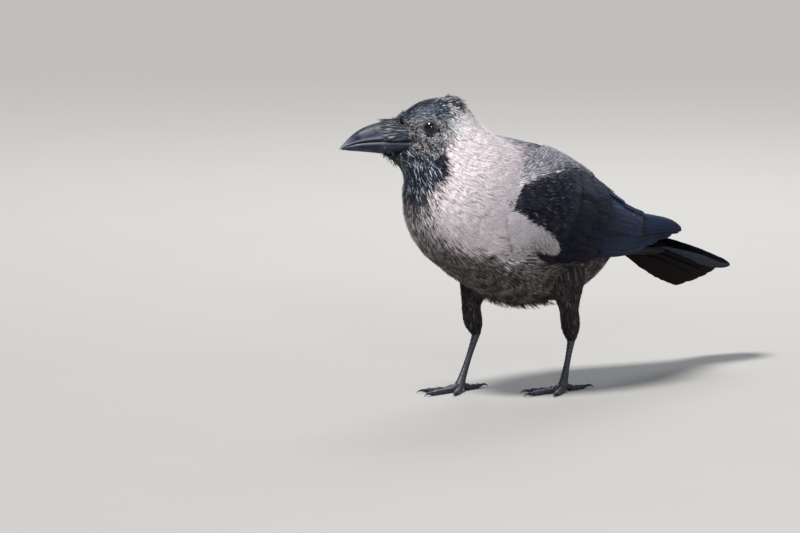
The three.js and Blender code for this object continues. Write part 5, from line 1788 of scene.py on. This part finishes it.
class CROW_OT_legs(bpy.types.Operator):
    """Adds the scaled shanks and toes, and the claws"""

    bl_idname = "crow.legs"
    bl_label = "Legs"

    def execute(self, context):
        for name, leg in LEGS.items():
            scales, claws = Pile(), Pile()
            top = np.array(leg["ankle"], float)
            base = np.array([*leg["foot"], FOOT_HEIGHT])
            u = np.linspace(-0.06, 1.04, 181)
            path = mix(top, base, u[:, None])
            radius = TARSUS_RADIUS * (1.12 - 0.35 * np.sin(np.pi * np.clip(mix(0.08, 0.95, u), 0, 1)))
            self.plated(scales, path, radius, radius * 1.06, u, 11, rise=0.17, sides=28)
            for toe, turn, length, claw in TOES:
                ahead, line, v = toe_line(leg, turn, length, 91)
                knuckles = 0.12 * np.cos(2 * np.pi * v * (3.5 if toe == "middle" else 3)) * (1 - 0.5 * v)
                girth = TOE_RADIUS * mix(1.0, 0.72, v) * (1 + knuckles)
                self.plated(scales, line, girth, girth, v, int(length / 2.1), rise=0.12, sides=20,
                            aside=np.cross(ahead, [0, 0, 1]))
                self.claw(claws, line[-1], ahead, claw)
            up = unit(top - base)
            hub = base + up * np.linspace(-6.6, 1.0, 12)[:, None]
            swell = np.interp(np.linspace(0, 1, 12), [0, 0.3, 0.6, 1], [3.1, 3.9, 3.5, 2.7])
            rings, _ = tube_rings(hub, swell, swell * 1.05, 24)
            rings[..., 2] = np.maximum(rings[..., 2], 0)
            ring_mesh(scales, rings, vane=np.tile([0.1, 0, 0.5, 0], (*rings.shape[:2], 1)).astype(float))
            put(scales, f"{name}_leg_scales", "leg scales", "leg", f"{name}_tarsus", f"{name}_foot")
            put(claws, f"{name}_claws", "claw horn", "bill", *(f"{name}_{toe[0]}_claw" for toe in TOES))
        return {"FINISHED"}

    def plated(self, pile, path, across, up, u, count, rise, sides, aside=None):
        """A plated shank, or a toe where the way to its side is given: plates ahead or on top."""
        if aside is None:
            rings, _ = tube_rings(path, across, up, sides)
            k = len(path) // 3
            face = np.clip((path[k, 0] - rings[k, :, 0]) / across[k], 0, 1) ** 0.5
        else:
            rings, a = tube_rings(path, across, up, sides, aside)
            above = np.sign(np.cross(path[-1] - path[0], aside)[2])
            face = np.clip(above * np.sin(a), 0, 1) ** 0.4
        saw, rim = plates(u, count)
        small, small_rim = plates(u, count * 1.7)
        back = 1 - face
        grow = 1 + rise * saw[:, None] * face + rise * 0.35 * small[:, None] * back
        rings = path[:, None] + (rings - path[:, None]) * grow[..., None]
        if aside is not None:
            rings[..., 2] = np.maximum(rings[..., 2], 0)
        dry = rim[:, None] * face + 0.4 * small_rim[:, None] * back
        vane = np.stack([dry, u[:, None] + 0 * dry, 0 * dry, 0 * dry], -1)
        ring_mesh(pile, rings, vane=vane)

    def claw(self, pile, root, ahead, length):
        """A curved, pointed claw that comes down to the floor."""
        u = np.linspace(-0.12, 1, 22)
        path = root + ahead * (length * u)[:, None]
        path[:, 2] += length * (0.5 - 0.62 * u) * u * u * (u > 0)
        girth = mix(1.6, 0.16, np.clip(u, 0, 1) ** 1.15)
        rings, _ = tube_rings(path, girth * 0.82, girth, 16, np.cross(ahead, [0, 0, 1]))
        rings[..., 2] = np.maximum(rings[..., 2], 0.02)
        ring_mesh(pile, rings)


# What the camera aims at, in metres to its right and up, the width of its sensor in millimetres, the
# place that the lights point at, and the sky.
AIM, SENSOR, LIT_PLACE = (-0.0956, 0.0893), 36, (-0.04, 0, 0.12)
SKY, SKY_STRENGTH = (0.82, 0.88, 1.0, 1), 0.3
# Lights: the way they stand off towards the camera, to its right and up, how far off in metres,
# their size or angle, their strength beside the key light's, and their colour.
LIGHTS = (
    ("key", "SUN", (0.7, -0.5, 1.15), 2.0, 0.24, 1.0, (1, 0.97, 0.94)),
    ("fill", "AREA", (0.8, 0.9, 0.35), 1.8, 1.2, 0.9, (0.86, 0.92, 1)),
    ("catch", "AREA", (1.0, 0.1, 0.24), 2.4, 0.34, 2.6, (0.95, 0.97, 1)),
    ("rim", "AREA", (-0.9, 0.1, 0.8), 1.7, 0.8, 2.2, (0.95, 0.97, 1)),
)


class CROW_OT_stage(bpy.types.Operator):
    """Adds the floor, the soft lights and the camera"""

    bl_idname = "crow.stage"
    bl_label = "Stage"

    def execute(self, context):
        stage = settings()[2]
        bpy.ops.object.select_all(action="DESELECT")
        bpy.ops.mesh.primitive_plane_add(size=24, location=(0, 0, 0))
        floor = bpy.context.object
        floor.name = "floor"
        material, tree, shader = new_material("Pale floor")
        cloud = noise(tree, object_places(tree), 6.0, 4.0)
        colour = blend(tree, cloud, toned(stage.floor), toned(stage.floor, 0.96))
        feed(tree, shader, {"Base Color": colour, "Roughness": 0.85})
        floor.data.materials.append(material)

        az, el = stage.azimuth, stage.elevation
        back = Vector((math.sin(az) * math.cos(el), -math.cos(az) * math.cos(el), math.sin(el)))
        right = Vector((math.cos(az), math.sin(az), 0))
        up = back.cross(right)
        base = Vector(SHIFT / 1000)
        aim = base + right * AIM[0] + up * AIM[1]
        camera = bpy.data.objects.new("camera", bpy.data.cameras.new("camera"))
        context.collection.objects.link(camera)
        camera.location = aim + back * stage.distance
        camera.rotation_euler = back.to_track_quat("Z", "Y").to_euler()
        camera.data.sensor_width = SENSOR
        camera.data.lens = SENSOR * stage.distance / stage.view_width
        camera.data.clip_end = 100
        context.scene.camera = camera

        middle = base + Vector(LIT_PLACE)
        for name, kind, (ahead, aside, above), far, size, share, colour in LIGHTS:
            light = bpy.data.objects.new(name, bpy.data.lights.new(name, kind))
            light.data.energy, light.data.color = stage.key * share, colour
            if kind == "SUN":
                light.data.angle = size
            else:
                light.data.shape, light.data.size = "DISK", size
            context.collection.objects.link(light)
            way = back * ahead + right * aside + up * above
            light.location = middle + way.normalized() * far
            light.rotation_euler = (light.location - middle).to_track_quat("Z", "Y").to_euler()
        world = bpy.data.worlds.new("world")
        world.use_nodes = True
        shade = world.node_tree.nodes["Background"]
        shade.inputs["Color"].default_value = SKY
        shade.inputs["Strength"].default_value = SKY_STRENGTH
        context.scene.world = world
        context.scene.view_settings.view_transform = "Standard"
        return {"FINISHED"}


class CROW_PT_panel(bpy.types.Panel):
    """Lists the pieces of the crow and their settings"""

    bl_idname = "CROW_PT_panel"
    bl_label = "House crow"
    bl_space_type = "VIEW_3D"
    bl_region_type = "UI"
    bl_category = "House Crow"

    def draw(self, context):
        layout = self.layout
        for group in settings():
            box = layout.box()
            for key in group.__annotations__:
                box.prop(group, key)
        for step in STEPS:
            layout.operator(step.bl_idname)


STEPS = (
    CROW_OT_stage, CROW_OT_skin, CROW_OT_bill, CROW_OT_eyes, CROW_OT_legs, CROW_OT_wings, CROW_OT_back,
    CROW_OT_tail, CROW_OT_thighs, CROW_OT_body_coat, CROW_OT_head_coat,
)
GROUPS = {"crow_plumage": CrowPlumage, "crow_horn": CrowHorn, "crow_stage": CrowStage}


def register():
    for made in (*GROUPS.values(), *STEPS, CROW_PT_panel):
        bpy.utils.register_class(made)
    for key, made in GROUPS.items():
        setattr(bpy.types.Scene, key, bpy.props.PointerProperty(type=made))


def unregister():
    for key in GROUPS:
        delattr(bpy.types.Scene, key)
    for made in reversed((*GROUPS.values(), *STEPS, CROW_PT_panel)):
        bpy.utils.unregister_class(made)


def main():
    register()
    for step in STEPS:
        getattr(bpy.ops.crow, step.bl_idname.split(".")[1])()


if __name__ == "__main__":
    main()
